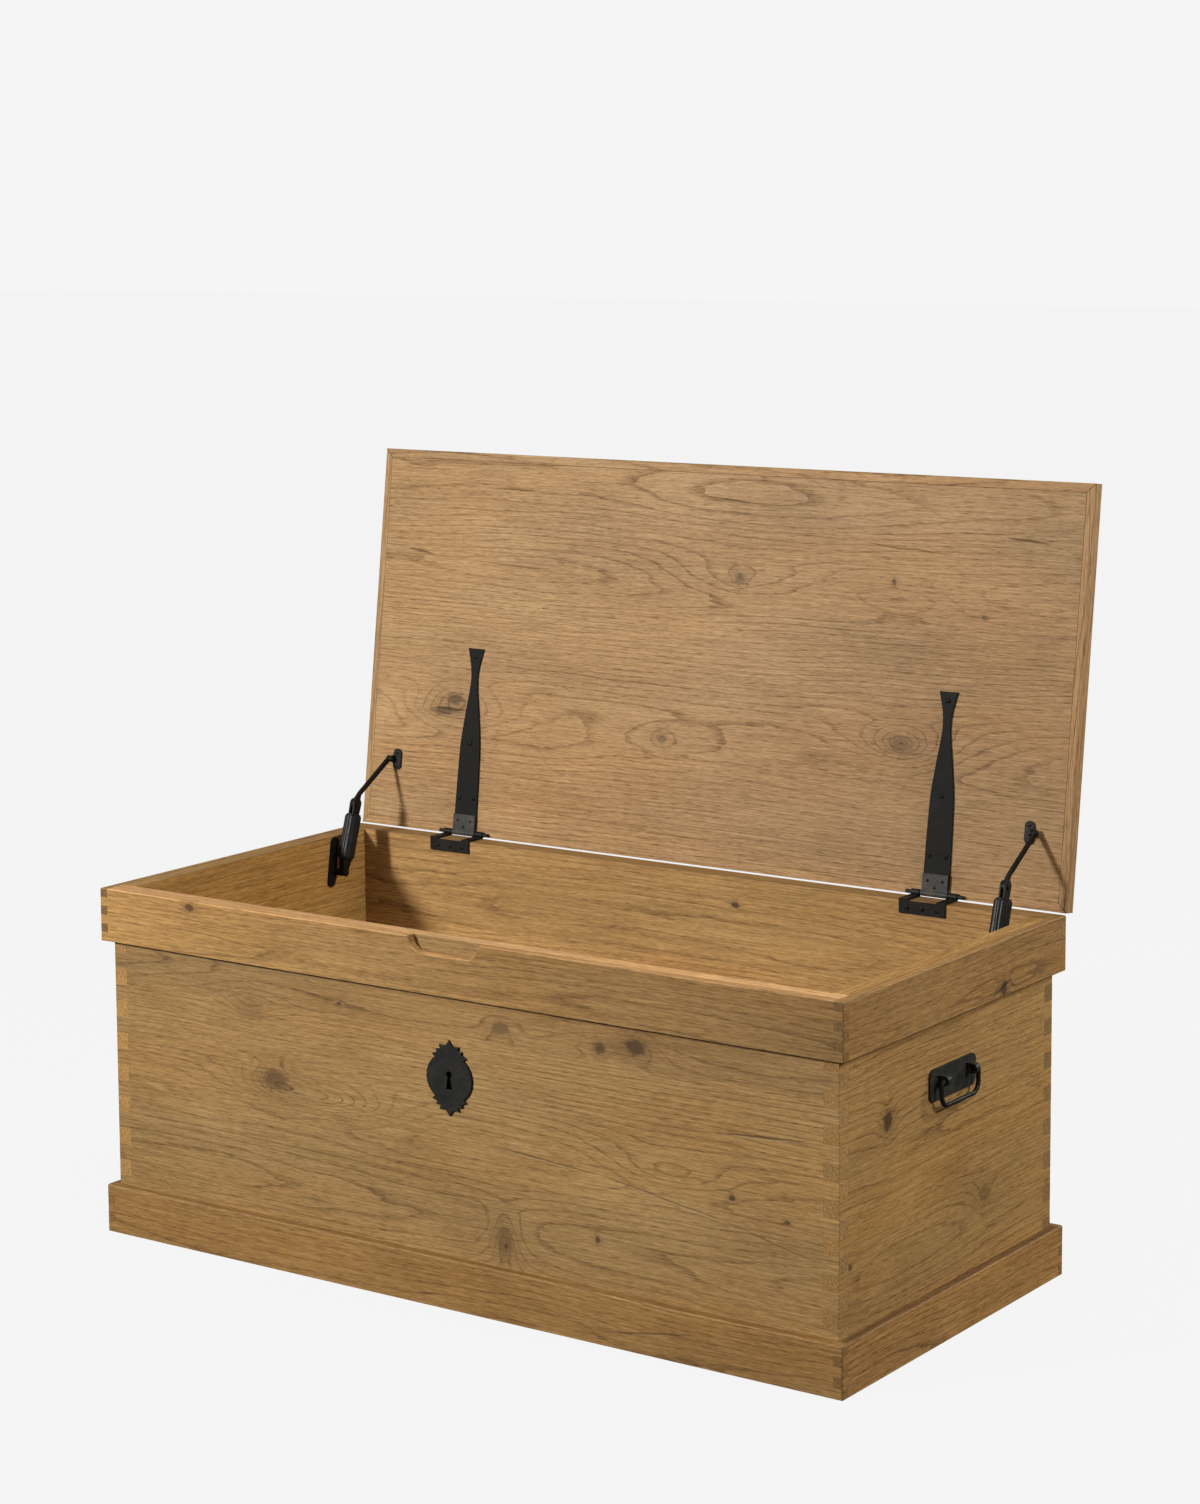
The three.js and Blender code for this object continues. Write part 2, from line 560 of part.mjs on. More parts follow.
/** The flat arm. It hangs from the lid's bracket, bends, and widens to its eye between the head's plates. */
function stayArm(side, label, parent) {
  const cosine = Math.cos(OPEN_ANGLE);
  const sine = Math.sin(OPEN_ANGLE);
  const topY = PIVOT_Y + STAY_TOP.y * cosine + STAY_TOP.z * sine;
  const topZ = PIVOT_Z - STAY_TOP.y * sine + STAY_TOP.z * cosine;
  const dy = STAY_KNEE.y - topY;
  const dz = STAY_KNEE.z - topZ;
  const length = Math.hypot(dy, dz);
  const group = new THREE.Group();
  group.position.set(0, topY, topZ);
  group.rotation.x = Math.atan2(-dy, dz);
  parent.add(group);

  const bendY = ARM.bendReach * Math.sin(ARM.bend);
  const bendZ = length - ARM.bendReach * Math.cos(ARM.bend);
  const pieces = [
    plateAcross(stadium(0, 0, bendY, bendZ, ARM.half), side, ARM.x),
    plateAcross(stadium(bendY, bendZ, 0, length, ARM.half, ARM.eye), side, ARM.x),
    pinAcross(ARM.top, side, ARM.x, 0, 0),
    pinAcross(ARM_PIN.radius, side, ARM_PIN.x, 0, 0),
    pinAcross(ARM_PIN.collar, side, ARM_PIN.collarX, 0, 0),
    pinAcross(ARM_PIN.collar, side, ARM_PIN.headX, 0, 0),
  ];
  part(`stay_rod_${label}`, joined(...pieces), iron, group);
}

/** A rounded plate screwed under the lid, with an ear for the arm's pin. */
function lidBracket(side, label, lid) {
  const { width, length, thick, earRadius, earX } = BRACKET;
  const half = (length - width) / 2;
  const middle = side * BRACKET.x;
  const faceHigh = LID_UNDER - GAP;
  const faceLow = faceHigh - thick;
  const outline = stadium(middle, STAY_TOP.y - half, middle, STAY_TOP.y + half, width / 2);
  const plate = solid(slab(outline, 'z', faceLow, faceHigh));
  const ear = plateAcross(stadium(STAY_TOP.y, STAY_TOP.z, STAY_TOP.y, faceLow + 1, earRadius), side, earX);
  const above = solid(
    block(middle - width, middle + width, STAY_TOP.y - width, STAY_TOP.y + width, faceHigh, faceHigh + width),
  );
  const bore = pinAcross(ARM_PIN.radius + GAP, side, [earX[0] - 1, earX[1] + 1], STAY_TOP.y, STAY_TOP.z);
  part(`stay_lid_bracket_${label}`, cut(joined(plate, ear), above, bore), iron, lid);
}

// ---- handles ----

function handle(side, label, parent) {
  const { width, height, thick, corner, z } = HANDLE_PLATE;
  const face = side * (SIDE_X + thick);
  const plate = solid(slab(roundedRectangle(0, z, width, height, corner), 'x', side * SIDE_X, face));
  const lugs = [];
  const bores = [];
  for (const end of [-1, 1]) {
    const outline = stadium(
      side * (SIDE_X + thick / 2), HANDLE_AXIS_Z, side * HANDLE_AXIS_X, HANDLE_AXIS_Z, LUG_RADIUS,
    );
    lugs.push(solid(slab(outline, 'y', end * LUG_INSIDE, end * LUG_OUTSIDE)));
    const bore = new THREE.Shape().absarc(side * HANDLE_AXIS_X, HANDLE_AXIS_Z, BAIL_RADIUS + GAP, 0, 2 * Math.PI);
    bores.push(solid(slab(bore, 'y', end * (LUG_INSIDE - 1), end * (LUG_OUTSIDE + 1), 8)));
  }
  const behind = solid(block(side * (SIDE_X - BOARD), side * SIDE_X, -width, width, z - height, z + height));
  part(`handle_plate_${label}`, cut(joined(plate, ...lugs), ...bores, behind), iron, parent);
  part(`handle_bail_${label}`, rod(bailCurve(side), BAIL_RADIUS, 44, 8), iron, parent);
}

/** The bail hangs from its two pins: down, round a wide corner, across and up again. */
function bailCurve(side) {
  const x = side * HANDLE_AXIS_X;
  const top = HANDLE_AXIS_Z;
  const bottom = HANDLE_AXIS_Z - BAIL_DROP;
  const bendCut = BAIL_BEND * (1 - Math.SQRT1_2); // from a bend's corner to the middle of its arc
  const cornerCut = BAIL_CORNER * (1 - Math.SQRT1_2);
  const half = [
    [LUG_INSIDE + 1, top], [LUG_OUTSIDE, top], [BAIL_HALF - bendCut, top - bendCut],
    [BAIL_HALF, top - BAIL_BEND], [BAIL_HALF, bottom + BAIL_CORNER],
    [BAIL_HALF - cornerCut, bottom + cornerCut], [BAIL_HALF - BAIL_CORNER, bottom],
  ];
  const points = [...half, ...half.map(([y, z]) => [-y, z]).reverse()];
  return new THREE.CatmullRomCurve3(
    points.map(([y, z]) => new THREE.Vector3(x, y, z)),
    false,
    'centripetal',
  );
}

// ---- escutcheon ----

/** One quarter of the plate's edge: a stretch of oval, two leaves and the pointed tip. */
function escutcheonQuarter(sideways, upwards) {
  const oval = [0, 0.25, 0.5, 0.75, 1].map((share) => {
    const angle = THREE.MathUtils.degToRad(KEY_OVAL.until * share);
    return [KEY_OVAL.x * Math.cos(angle), KEY_OVAL.z * Math.sin(angle)];
  });
  return [...oval, ...KEY_LEAVES].map(([x, z]) => [sideways * x, KEY_PLATE_Z + upwards * z]);
}

/** A keyhole: round above, flaring to a flat foot below. */
function keyholeOutline() {
  const { radius, headUp, footDown, footHalf } = KEYHOLE;
  const foot = KEY_PLATE_Z - footDown;
  const shape = new THREE.Shape();
  shape.absarc(0, KEY_PLATE_Z + headUp, radius, -Math.PI / 3, (Math.PI * 4) / 3);
  shape.lineTo(-footHalf, foot);
  shape.lineTo(footHalf, foot);
  return shape.closePath();
}

/** An oval plate with pointed leaves above and below, and a blind keyhole in its face. */
function escutcheon(parent) {
  const outline = [
    ...escutcheonQuarter(1, 1),
    ...escutcheonQuarter(-1, 1).reverse().slice(1),
    ...escutcheonQuarter(-1, -1).slice(1),
    ...escutcheonQuarter(1, -1).reverse().slice(1, -1),
  ];
  const face = -SIDE_Y - KEY_PLATE_THICK;
  const plate = solid(slab(outline, 'y', -SIDE_Y, face));
  const keyhole = solid(slab(keyholeOutline(), 'y', face - 1, face + KEYHOLE.depth));
  part('keyhole_escutcheon', cut(plate, keyhole), iron, parent);
}

// ---- the chest ----

const chest = new THREE.Group();
chest.position.y = -REAR_SHIFT;

carcass(chest);
band('collar', HEIGHT - COLLAR_HEIGHT, HEIGHT, COLLAR_FINGERS, false, chest);
band('plinth', 0, PLINTH_HEIGHT, PLINTH_FINGERS, true, chest);
escutcheon(chest);

const lid = new THREE.Group();
lid.position.set(0, PIVOT_Y, PIVOT_Z);
lid.rotation.x = -OPEN_ANGLE;
chest.add(lid);
lidBoards(lid);

for (const [label, side] of [['left', -1], ['right', 1]]) {
  const x = side * HINGE_X;
  fixedLeaf(`hinge_leaf_${label}`, x, chest);
  leafScrews(`hinge_leaf_screw_${label}`, x, chest);
  part(
    `hinge_pin_${label}`,
    roundBar(PIN_RADIUS, x - PIN_LENGTH / 2, x + PIN_LENGTH / 2, PIVOT_Y, PIVOT_Z),
    iron,
    chest,
  );
  movingLeaf(`hinge_root_plate_${label}`, x, lid);
  strap(`hinge_strap_${label}`, x, lid);
  stayBase(side, label, chest);
  damper(side, label, chest);
  stayArm(side, label, chest);
  lidBracket(side, label, lid);
  handle(side, label, chest);
}

export default new THREE.Group().add(chest);
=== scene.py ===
"""Looks for a rustic oak blanket chest with its lid standing open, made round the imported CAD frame.

Metres, +Z up, front towards -Y. Every CAD node is remade with eased edges and a procedural
material. The screws get their cross slots here, the sleeves their round ribs and the bails their
round bars. The rivets and small screws that the CAD leaves out are added.
"""

import json
import math
from collections import namedtuple

import bmesh
import bpy
from mathutils import Matrix, Vector

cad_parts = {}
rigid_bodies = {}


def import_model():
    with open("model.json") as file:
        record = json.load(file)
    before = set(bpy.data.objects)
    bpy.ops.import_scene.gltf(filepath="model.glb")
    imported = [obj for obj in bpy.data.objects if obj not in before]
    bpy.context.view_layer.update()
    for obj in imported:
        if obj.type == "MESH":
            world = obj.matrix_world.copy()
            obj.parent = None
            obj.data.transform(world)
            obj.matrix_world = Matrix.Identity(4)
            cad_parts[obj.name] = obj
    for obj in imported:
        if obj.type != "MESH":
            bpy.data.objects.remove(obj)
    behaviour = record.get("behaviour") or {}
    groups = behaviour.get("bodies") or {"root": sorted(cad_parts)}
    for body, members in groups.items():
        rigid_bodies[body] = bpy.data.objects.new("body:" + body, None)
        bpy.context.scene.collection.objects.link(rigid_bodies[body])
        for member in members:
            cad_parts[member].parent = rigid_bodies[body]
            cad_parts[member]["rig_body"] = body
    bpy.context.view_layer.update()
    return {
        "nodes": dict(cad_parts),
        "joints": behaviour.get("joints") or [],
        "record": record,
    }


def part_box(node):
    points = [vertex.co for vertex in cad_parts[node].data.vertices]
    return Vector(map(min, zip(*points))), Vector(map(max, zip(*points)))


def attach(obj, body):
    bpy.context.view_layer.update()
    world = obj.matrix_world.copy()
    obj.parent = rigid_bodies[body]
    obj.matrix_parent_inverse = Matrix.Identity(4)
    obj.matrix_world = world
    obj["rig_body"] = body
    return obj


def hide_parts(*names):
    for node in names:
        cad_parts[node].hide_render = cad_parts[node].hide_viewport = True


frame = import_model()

MM = 0.001
LID_OPEN = math.radians(97.3)

# ---- places, worked out from the frame ----


def low(node):
    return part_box(node)[0]


def high(node):
    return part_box(node)[1]


def joint(name):
    """A joint's pivot."""
    return Vector(next(j["pos_m"] for j in frame["joints"] if j["name"] == name))


TOP = high("collar_front").z
FRONT = low("collar_front").y  # outer face of the collar
BACK = high("collar_back").y
MIDDLE = (FRONT + BACK) / 2
HALF_WIDTH = high("collar_front").x
PANEL_FRONT = low("front_board").y
PANEL_BACK = high("back_board").y
PANEL_X = high("front_board").x
BOARD_THICK = high("front_board").y - low("front_board").y
HINGE = joint("lid_hinge")
HINGE_X = (low("hinge_strap_right").x + high("hinge_strap_right").x) / 2
PIN_INSET = 3 * MM  # hinge axis to the lid's back edge, and to its underside
LID_THICK = 19 * MM
LID_DEPTH = 524 * MM

# A flat piece's own axes: along its grain, across it, and out of its face.
Place = namedtuple("Place", "origin along across out")

X, Y, Z = Vector((1, 0, 0)), Vector((0, 1, 0)), Vector((0, 0, 1))

front_place = Place(Vector((0, PANEL_FRONT, 0)), X, Z, -Y)
back_place = Place(Vector((0, PANEL_BACK, 0)), X, Z, Y)
right_place = Place(Vector((PANEL_X, MIDDLE, 0)), Y, Z, X)
left_place = Place(Vector((-PANEL_X, MIDDLE, 0)), Y, Z, -X)
bottom_place = Place(Vector((0, MIDDLE, 0)), X, Y, Z)


def lid_place():
    """The lid's axes: along it, from its hinged edge to its free edge, and out of its underside."""
    turn = Matrix.Rotation(-LID_OPEN, 3, "X")
    origin = HINGE + turn @ Vector((0, PIN_INSET, PIN_INSET))
    return Place(origin, X, turn @ -Y, turn @ -Z)


lid = lid_place()


def at(place, along, across, out=0.0):
    """A point given in a flat piece's own axes."""
    return place.origin + along * place.along + across * place.across + out * place.out


# ---- shader node trees ----


class Number:
    """A number carried by a shader socket, with ordinary arithmetic."""

    def __init__(self, tree, socket):
        self.tree = tree
        self.socket = socket

    def __add__(self, other):
        return self.tree.math("ADD", self, other)

    def __sub__(self, other):
        return self.tree.math("SUBTRACT", self, other)

    def __rsub__(self, other):
        return self.tree.math("SUBTRACT", other, self)

    def __mul__(self, other):
        return self.tree.math("MULTIPLY", self, other)

    def __truediv__(self, other):
        return self.tree.math("DIVIDE", self, other)

    __radd__ = __add__
    __rmul__ = __mul__


class Tree:
    """A material's node tree, built from short expressions."""

    def __init__(self, name):
        self.material = bpy.data.materials.new(name)
        self.material.use_nodes = True
        self.nodes = self.material.node_tree.nodes
        self.links = self.material.node_tree.links
        self.nodes.clear()

    def add(self, kind, **settings):
        node = self.nodes.new(kind)
        for key, value in settings.items():
            setattr(node, key, value)
        return node

    def feed(self, socket, value):
        """Joins a number or another socket to an input, or sets it to a plain value."""
        if isinstance(value, Number):
            self.links.new(value.socket, socket)
        elif isinstance(value, bpy.types.NodeSocket):
            self.links.new(value, socket)
        else:
            socket.default_value = value

    def math(self, operation, *values, clamp=False):
        node = self.add("ShaderNodeMath", operation=operation, use_clamp=clamp)
        for socket, value in zip(node.inputs, values):
            self.feed(socket, value)
        return Number(self, node.outputs[0])

    def plain(self, value):
        node = self.add("ShaderNodeValue")
        node.outputs[0].default_value = value
        return Number(self, node.outputs[0])

    def root(self, value):
        return self.math("SQRT", value)

    def size(self, value):
        return self.math("ABSOLUTE", value)

    def step(self, value, edge):
        """0 below the edge and 1 above it."""
        return self.math("GREATER_THAN", value, edge)

    def ramp(self, value, start, end, to_start=0.0, to_end=1.0):
        """Goes smoothly from one value to another while the input goes from start to end."""
        node = self.add("ShaderNodeMapRange", interpolation_type="SMOOTHSTEP")
        for socket, item in zip(node.inputs, (value, start, end, to_start, to_end)):
            self.feed(socket, item)
        return Number(self, node.outputs[0])

    def bell(self, squared):
        """1 where the squared distance is 0, falling to 0 as it grows."""
        return self.math("DIVIDE", 1.0, (squared + 1.0) * (squared + 1.0))

    def vector(self, x, y, z):
        node = self.add("ShaderNodeCombineXYZ")
        for socket, value in zip(node.inputs, (x, y, z)):
            self.feed(socket, value)
        return node.outputs[0]

    def noise(self, x, y, z, detail=2.0, roughness=0.5):
        """Smooth noise about 0, roughly from -0.5 to 0.5."""
        node = self.add("ShaderNodeTexNoise")
        self.feed(node.inputs["Vector"], self.vector(x, y, z))
        node.inputs["Scale"].default_value = 1.0
        node.inputs["Detail"].default_value = detail
        node.inputs["Roughness"].default_value = roughness
        return Number(self, node.outputs[0]) - 0.5

    def colours(self, value, stops):
        """A colour ramp from (position, colour) stops."""
        node = self.add("ShaderNodeValToRGB")
        self.feed(node.inputs[0], value)
        elements = node.color_ramp.elements
        while len(elements) < len(stops):
            elements.new(1.0)
        for element, (position, colour) in zip(elements, stops):
            element.position = position
            element.color = (*colour, 1.0)
        return node.outputs[0]

    def mix(self, amount, first, second, blend="MIX"):
        """Blends two colours."""
        node = self.add("ShaderNodeMix", data_type="RGBA", blend_type=blend)
        self.feed(node.inputs[0], amount)
        for socket, colour in ((node.inputs[6], first), (node.inputs[7], second)):
            self.feed(socket, (*colour, 1.0) if isinstance(colour, tuple) else colour)
        return node.outputs[2]

    def along(self, vector, place_axis, offset=0.0):
        """How far a vector reaches along an axis."""
        node = self.add("ShaderNodeVectorMath", operation="DOT_PRODUCT")
        self.feed(node.inputs[0], vector)
        node.inputs[1].default_value = place_axis
        return Number(self, node.outputs["Value"]) - offset

    def finish(self, colour, roughness, height, specular=0.5):
        """Closes the tree with a surface. The height is in millimetres."""
        bump = self.add("ShaderNodeBump")
        bump.inputs["Distance"].default_value = MM
        self.feed(bump.inputs["Height"], height)
        surface = self.add("ShaderNodeBsdfPrincipled")
        self.feed(surface.inputs["Base Color"], colour)
        self.feed(surface.inputs["Roughness"], roughness)
        self.feed(surface.inputs["Specular IOR Level"], specular)
        self.feed(surface.inputs["Normal"], bump.outputs[0])
        output = self.add("ShaderNodeOutputMaterial")
        self.links.new(surface.outputs[0], output.inputs[0])
        return self.material


# ---- oak ----

# A stave is one of the boards glued side by side into a panel. It reaches up to its edge, and its
# rings are centred on its pith line, that far behind the face.
Stave = namedtuple("Stave", "edge pith depth tone")
Knot = namedtuple("Knot", "along across length width dark")
Swirl = namedtuple("Swirl", "along across length width rings")  # where the rings are pushed into loops
Split = namedtuple("Split", "along across length width slope dark")

WHITE = (1.0, 1.0, 1.0)

# One board: where it lies and how its oak looks. Its end grain is darker by the cut_dark share, and
# it grows paler by the fade share in each metre along it. The top tint paints light or shade on its
# upward faces, and the inner tint gives its face inside the chest its own tone with painted light.
Board = namedtuple(
    "Board", "place staves knots splits swirls tint seed cut_dark fade top_tint inner_tint",
    defaults=((), (), (), WHITE, 0.0, 0.12, 0.0, WHITE, None),
)

# A point of a board in the board's own axes, and how far it is on end grain, on an upward face (where
# light or shade is painted) and on its inner face, each from 0 to 1. The bent place follows the grain's slow
# waves.
Spot = namedtuple("Spot", "along across out bent wave cut ledge inside")

RING = 6.0 * MM  # spacing of the growth rings
RING_START = 50.0  # keeps the count of rings above 0
OAK_STOPS = (
    (0.0, (0.050, 0.028, 0.011)),
    (0.32, (0.190, 0.110, 0.044)),
    (0.60, (0.330, 0.203, 0.088)),
    (1.0, (0.560, 0.375, 0.185)),
)
KNOT_COLOUR = (0.088, 0.046, 0.016)
SPLIT_COLOUR = (0.022, 0.013, 0.006)
ORANGE = (1.10, 0.98, 0.84)


def choose(tree, across, staves, field):
    """A stave's own value, picked by the place across the panel."""
    value = tree.plain(getattr(staves[0], field))
    for below, above in zip(staves, staves[1:]):
        change = getattr(above, field) - getattr(below, field)
        value = tree.step(across, below.edge) * change + value
    return value


def squared_distance(along, across, mark):
    du = (along - mark.along) / mark.length
    dv = (across - mark.across) / mark.width
    return du * du + dv * dv


def ring_push(tree, along, across, knots, swirls):
    """How many rings the lines are pushed out by, round the knots and in the swirls."""
    push = tree.plain(0.0)
    for knot in knots:
        push = tree.bell(squared_distance(along, across, knot) * 0.25) * (knot.width / RING) + push
    for swirl in swirls:
        push = tree.bell(squared_distance(along, across, swirl) * 0.25) * swirl.rings + push
    return push


def knot_shade(tree, along, across, knots):
    """How dark the knots make the wood, from 0 to 1: a soft halo round a ragged core."""
    dark = tree.plain(0.0)
    uneven = tree.noise(along * 130.0, across * 210.0, 2.0, detail=4.0, roughness=0.7) * 4.0 + 1.1
    for knot in knots:
        squared = squared_distance(along, across, knot) * uneven
        halo = tree.ramp(squared, 7.0, 0.0) * (0.30 * knot.dark)
        core = tree.ramp(squared, 1.3, 0.1) * (0.85 * knot.dark)
        dark = tree.math("MAXIMUM", core + halo, dark)
    return dark


def split_depth(tree, along, across, waver, splits):
    """How deep the drying splits are, from 0 to 1."""
    depth = tree.plain(0.0)
    for split in splits:
        du = (along - split.along) / (split.length / 2)
        off = across - split.across - (along - split.along) * split.slope + waver
        taper = tree.root(tree.math("MAXIMUM", 1.0 - du * du, 0.0))
        mark = tree.math("SUBTRACT", taper, tree.size(off) / split.width, clamp=True) * split.dark
        depth = tree.math("MAXIMUM", mark, depth)
    return depth


def board_spot(tree, board):
    """Where the shaded point lies on a board."""
    coordinates = tree.add("ShaderNodeTexCoord")
    position, normal = coordinates.outputs["Object"], coordinates.outputs["Normal"]
    place = board.place
    along, across, out = (
        tree.along(position, axis, place.origin.dot(axis)) for axis in (place.along, place.across, place.out)
    )
    cut = tree.ramp(tree.size(tree.along(normal, place.along)), 0.55, 0.9)
    # How far a face turns upward: where light or shade is painted on the board's top faces.
    ledge = tree.ramp(tree.along(normal, place.across), 0.3, 0.9)
    inside = tree.step(out * -1.0, BOARD_THICK - 0.1 * MM)
    wave = tree.noise(along * 2.0 + board.seed, across * 7.0, out * 7.0, detail=2.0)
    return Spot(along, across, out, across + wave * 0.010, wave, cut, ledge, inside)


def ring_lines(tree, board, spot, dash):
    """The porous wood that each ring begins with, and the dark line it draws, each from 0 to 1."""
    along, across, out = spot.along, spot.across, spot.out
    pith = choose(tree, across, board.staves, "pith")
    drift = tree.noise(along * 1.6 + board.seed, pith * 31.0, 0.0, detail=1.0)
    sideways = spot.bent - pith + spot.wave * 0.03
    deep = choose(tree, across, board.staves, "depth") - out + drift * 0.050
    ripple = tree.noise(along * 8.0 + board.seed, across * 70.0, out * 70.0, detail=2.0)
    distance = tree.root(sideways * sideways + deep * deep)
    push = ring_push(tree, along, spot.bent, board.knots, board.swirls)
    rings = distance / RING + push + ripple * 0.8
    phase = tree.math("FRACT", rings + RING_START)

    patches = tree.noise(along * 3.0, across * 12.0, board.seed + 3.0)
    strength = tree.math("MAXIMUM", tree.ramp(patches, -0.20, 0.22, 0.30, 1.0), push * 0.13)
    early = tree.ramp(phase, 0.28, 0.0) * tree.ramp(phase, 1.0, 0.95)
    return early, early * strength * (dash * 1.8 + 0.85) * (1.0 - spot.cut * 0.6)


def oak_tint(tree, board, spot, wood):
    """Warms the wood in patches, gives each stave and each face its own tone, with painted light on the
    inner face, and paints light or shade on the upward faces.
    """
    along, across, out = spot.along, spot.across, spot.out
    orange = tree.ramp(tree.noise(along * 2.0, across * 9.0 + board.seed, out * 9.0 + 5.0), -0.2, 0.25)
    wood = tree.mix(orange * 0.7, wood, ORANGE, blend="MULTIPLY")
    # The inner face's tint: its own tone with painted light.
    face = tree.mix(spot.inside, board.tint, board.inner_tint or board.tint)
    wood = tree.mix(1.0, wood, face, blend="MULTIPLY")
    # Painted light on the upward faces: a painted highlight where the top tint is above 1, painted shade
    # where it is below.
    wood = tree.mix(1.0, wood, tree.mix(spot.ledge, WHITE, board.top_tint), blend="MULTIPLY")
    tone = choose(tree, across, board.staves, "tone")
    shade = tone * (1.0 - spot.cut * board.cut_dark) * (along * board.fade + 1.0)
    return tree.mix(1.0, wood, tree.vector(shade, shade, shade), blend="MULTIPLY")


def oak(name, board):
    """Oak sawn along a board: rings, knots, splits, pores, and end grain where the fibres are cut.

    Each noise is stretched along the grain: the numbers are how often it changes in a metre.
    """
    tree = Tree(name)
    spot = board_spot(tree, board)
    along, across, out = spot.along, spot.across, spot.out
    seed = board.seed

    dash = tree.noise(along * 10.0 + seed, across * 330.0, out * 330.0, detail=3.0, roughness=0.72)
    fine = tree.noise(along * 70.0, across * 640.0 + seed, out * 640.0, detail=2.0, roughness=0.7)
    short = tree.noise(along * 44.0, across * 500.0 + seed, out * 500.0, detail=2.0, roughness=0.65)
    glint = tree.ramp(tree.noise(along * 9.0, across * 330.0, seed + 8.0, detail=1.0), 0.20, 0.30)
    cloud = tree.noise(along * 3.2 + seed, across * 9.0, out * 9.0, detail=2.0)
    waver = tree.noise(along * 22.0, across * 20.0, seed, detail=2.0) * 0.004

    early, line = ring_lines(tree, board, spot, dash)
    pores = tree.ramp(short + early * 0.06, 0.08, 0.16)
    split = split_depth(tree, along, across, waver, board.splits)
    knot = knot_shade(tree, along, spot.bent, board.knots)

    streaks = dash * 0.84 + fine * 0.70 + cloud * 0.34
    light = streaks + glint * 0.17 - pores * 0.17 - line * 0.30 + 0.67
    wood = oak_tint(tree, board, spot, tree.colours(light, OAK_STOPS))
    wood = tree.mix(knot * (dash * 0.6 + 0.95), wood, KNOT_COLOUR)
    wood = tree.mix(split * 0.9, wood, SPLIT_COLOUR)

    roughness = line * 0.06 + pores * 0.08 - cloud * 0.06 + 0.58
    height = dash * 0.14 - pores * 0.10 - line * 0.08 - split * 0.9 - knot * 0.1
    return tree.finish(wood, roughness, height, specular=0.25)


def single(pith, depth=0.05, tone=1.0):
    """A board of a single stave."""
    return (Stave(1.0, pith, depth, tone),)


FRONT_STAVES = (
    Stave(0.165, 0.110, 0.060, 0.96),
    Stave(0.333, 0.205, 0.050, 1.02),
    Stave(1.0, 0.370, 0.060, 0.90),
)
FRONT_KNOTS = (
    Knot(-0.273, 0.2376, 0.025, 0.015, 0.72),
    Knot(0.079, 0.094, 0.014, 0.023, 0.55),
    Knot(0.081, 0.088, 0.0035, 0.004, 1.00),
    Knot(0.267, 0.356, 0.017, 0.010, 1.00),
    Knot(0.218, 0.348, 0.009, 0.008, 0.85),
    Knot(0.076, 0.352, 0.014, 0.010, 0.60),
    Knot(-0.262, 0.258, 0.004, 0.007, 0.60),
    Knot(-0.169, 0.348, 0.004, 0.003, 0.90),
    Knot(0.398, 0.203, 0.005, 0.004, 0.95),
    Knot(0.471, 0.187, 0.004, 0.003, 0.85),
    Knot(0.213, 0.119, 0.004, 0.005, 0.80),
    Knot(-0.312, 0.321, 0.030, 0.016, 0.35),
)
FRONT_SWIRLS = (
    Swirl(-0.205, 0.226, 0.085, 0.015, 8.0),
    Swirl(0.230, 0.352, 0.060, 0.014, 3.0),
    Swirl(0.315, 0.218, 0.055, 0.013, 3.5),
)
FRONT_SPLITS = (
    Split(0.436, 0.278, 0.125, 0.0022, 0.07, 0.8),
    Split(-0.205, 0.095, 0.070, 0.0026, -0.02, 0.6),
    Split(0.130, 0.2035, 0.190, 0.0018, -0.06, 0.6),
    Split(0.300, 0.186, 0.190, 0.0018, -0.15, 0.6),
    Split(0.447, 0.160, 0.140, 0.0016, -0.21, 0.5),
)
RIGHT_STAVES = (
    Stave(0.190, 0.120, 0.070, 0.97),
    Stave(0.345, 0.250, 0.060, 1.00),
    Stave(1.0, 0.400, 0.060, 0.99),
)
RIGHT_KNOTS = (
    Knot(-0.146, 0.289, 0.011, 0.013, 1.00),
    Knot(0.084, 0.145, 0.016, 0.014, 0.40),
    Knot(-0.228, 0.141, 0.004, 0.004, 0.80),
)
RIGHT_SPLITS = (Split(0.060, 0.262, 0.200, 0.0018, 0.02, 0.5),)
BACK_KNOTS = (Knot(0.093, 0.414, 0.007, 0.0045, 0.95),)
LID_STAVES = (
    Stave(0.268, 0.165, 0.050, 0.99),
    Stave(0.445, 0.372, 0.045, 1.02),
    Stave(1.0, 0.490, 0.060, 1.00),
)
LID_KNOTS = (
    Knot(0.0486, 0.3798, 0.010, 0.009, 0.60),
    Knot(-0.4000, 0.1840, 0.018, 0.009, 0.80),
    Knot(-0.4180, 0.1660, 0.026, 0.006, 0.80),
    Knot(-0.4000, 0.1750, 0.048, 0.022, 0.35),
    Knot(-0.0558, 0.1608, 0.010, 0.009, 0.45),
    Knot(0.3030, 0.1840, 0.018, 0.011, 0.60),
    Knot(0.3060, 0.1830, 0.034, 0.018, 0.30),
    Knot(0.2779, 0.3875, 0.004, 0.004, 0.80),
    Knot(0.4088, 0.3509, 0.004, 0.003, 0.80),
)
LID_SWIRLS = (
    Swirl(0.0486, 0.380, 0.090, 0.020, 4.5),
    Swirl(-0.380, 0.172, 0.100, 0.020, 4.0),
    Swirl(0.300, 0.184, 0.090, 0.022, 4.5),
    Swirl(0.290, 0.366, 0.050, 0.013, 3.0),
    Swirl(-0.050, 0.162, 0.090, 0.016, 3.0),
)
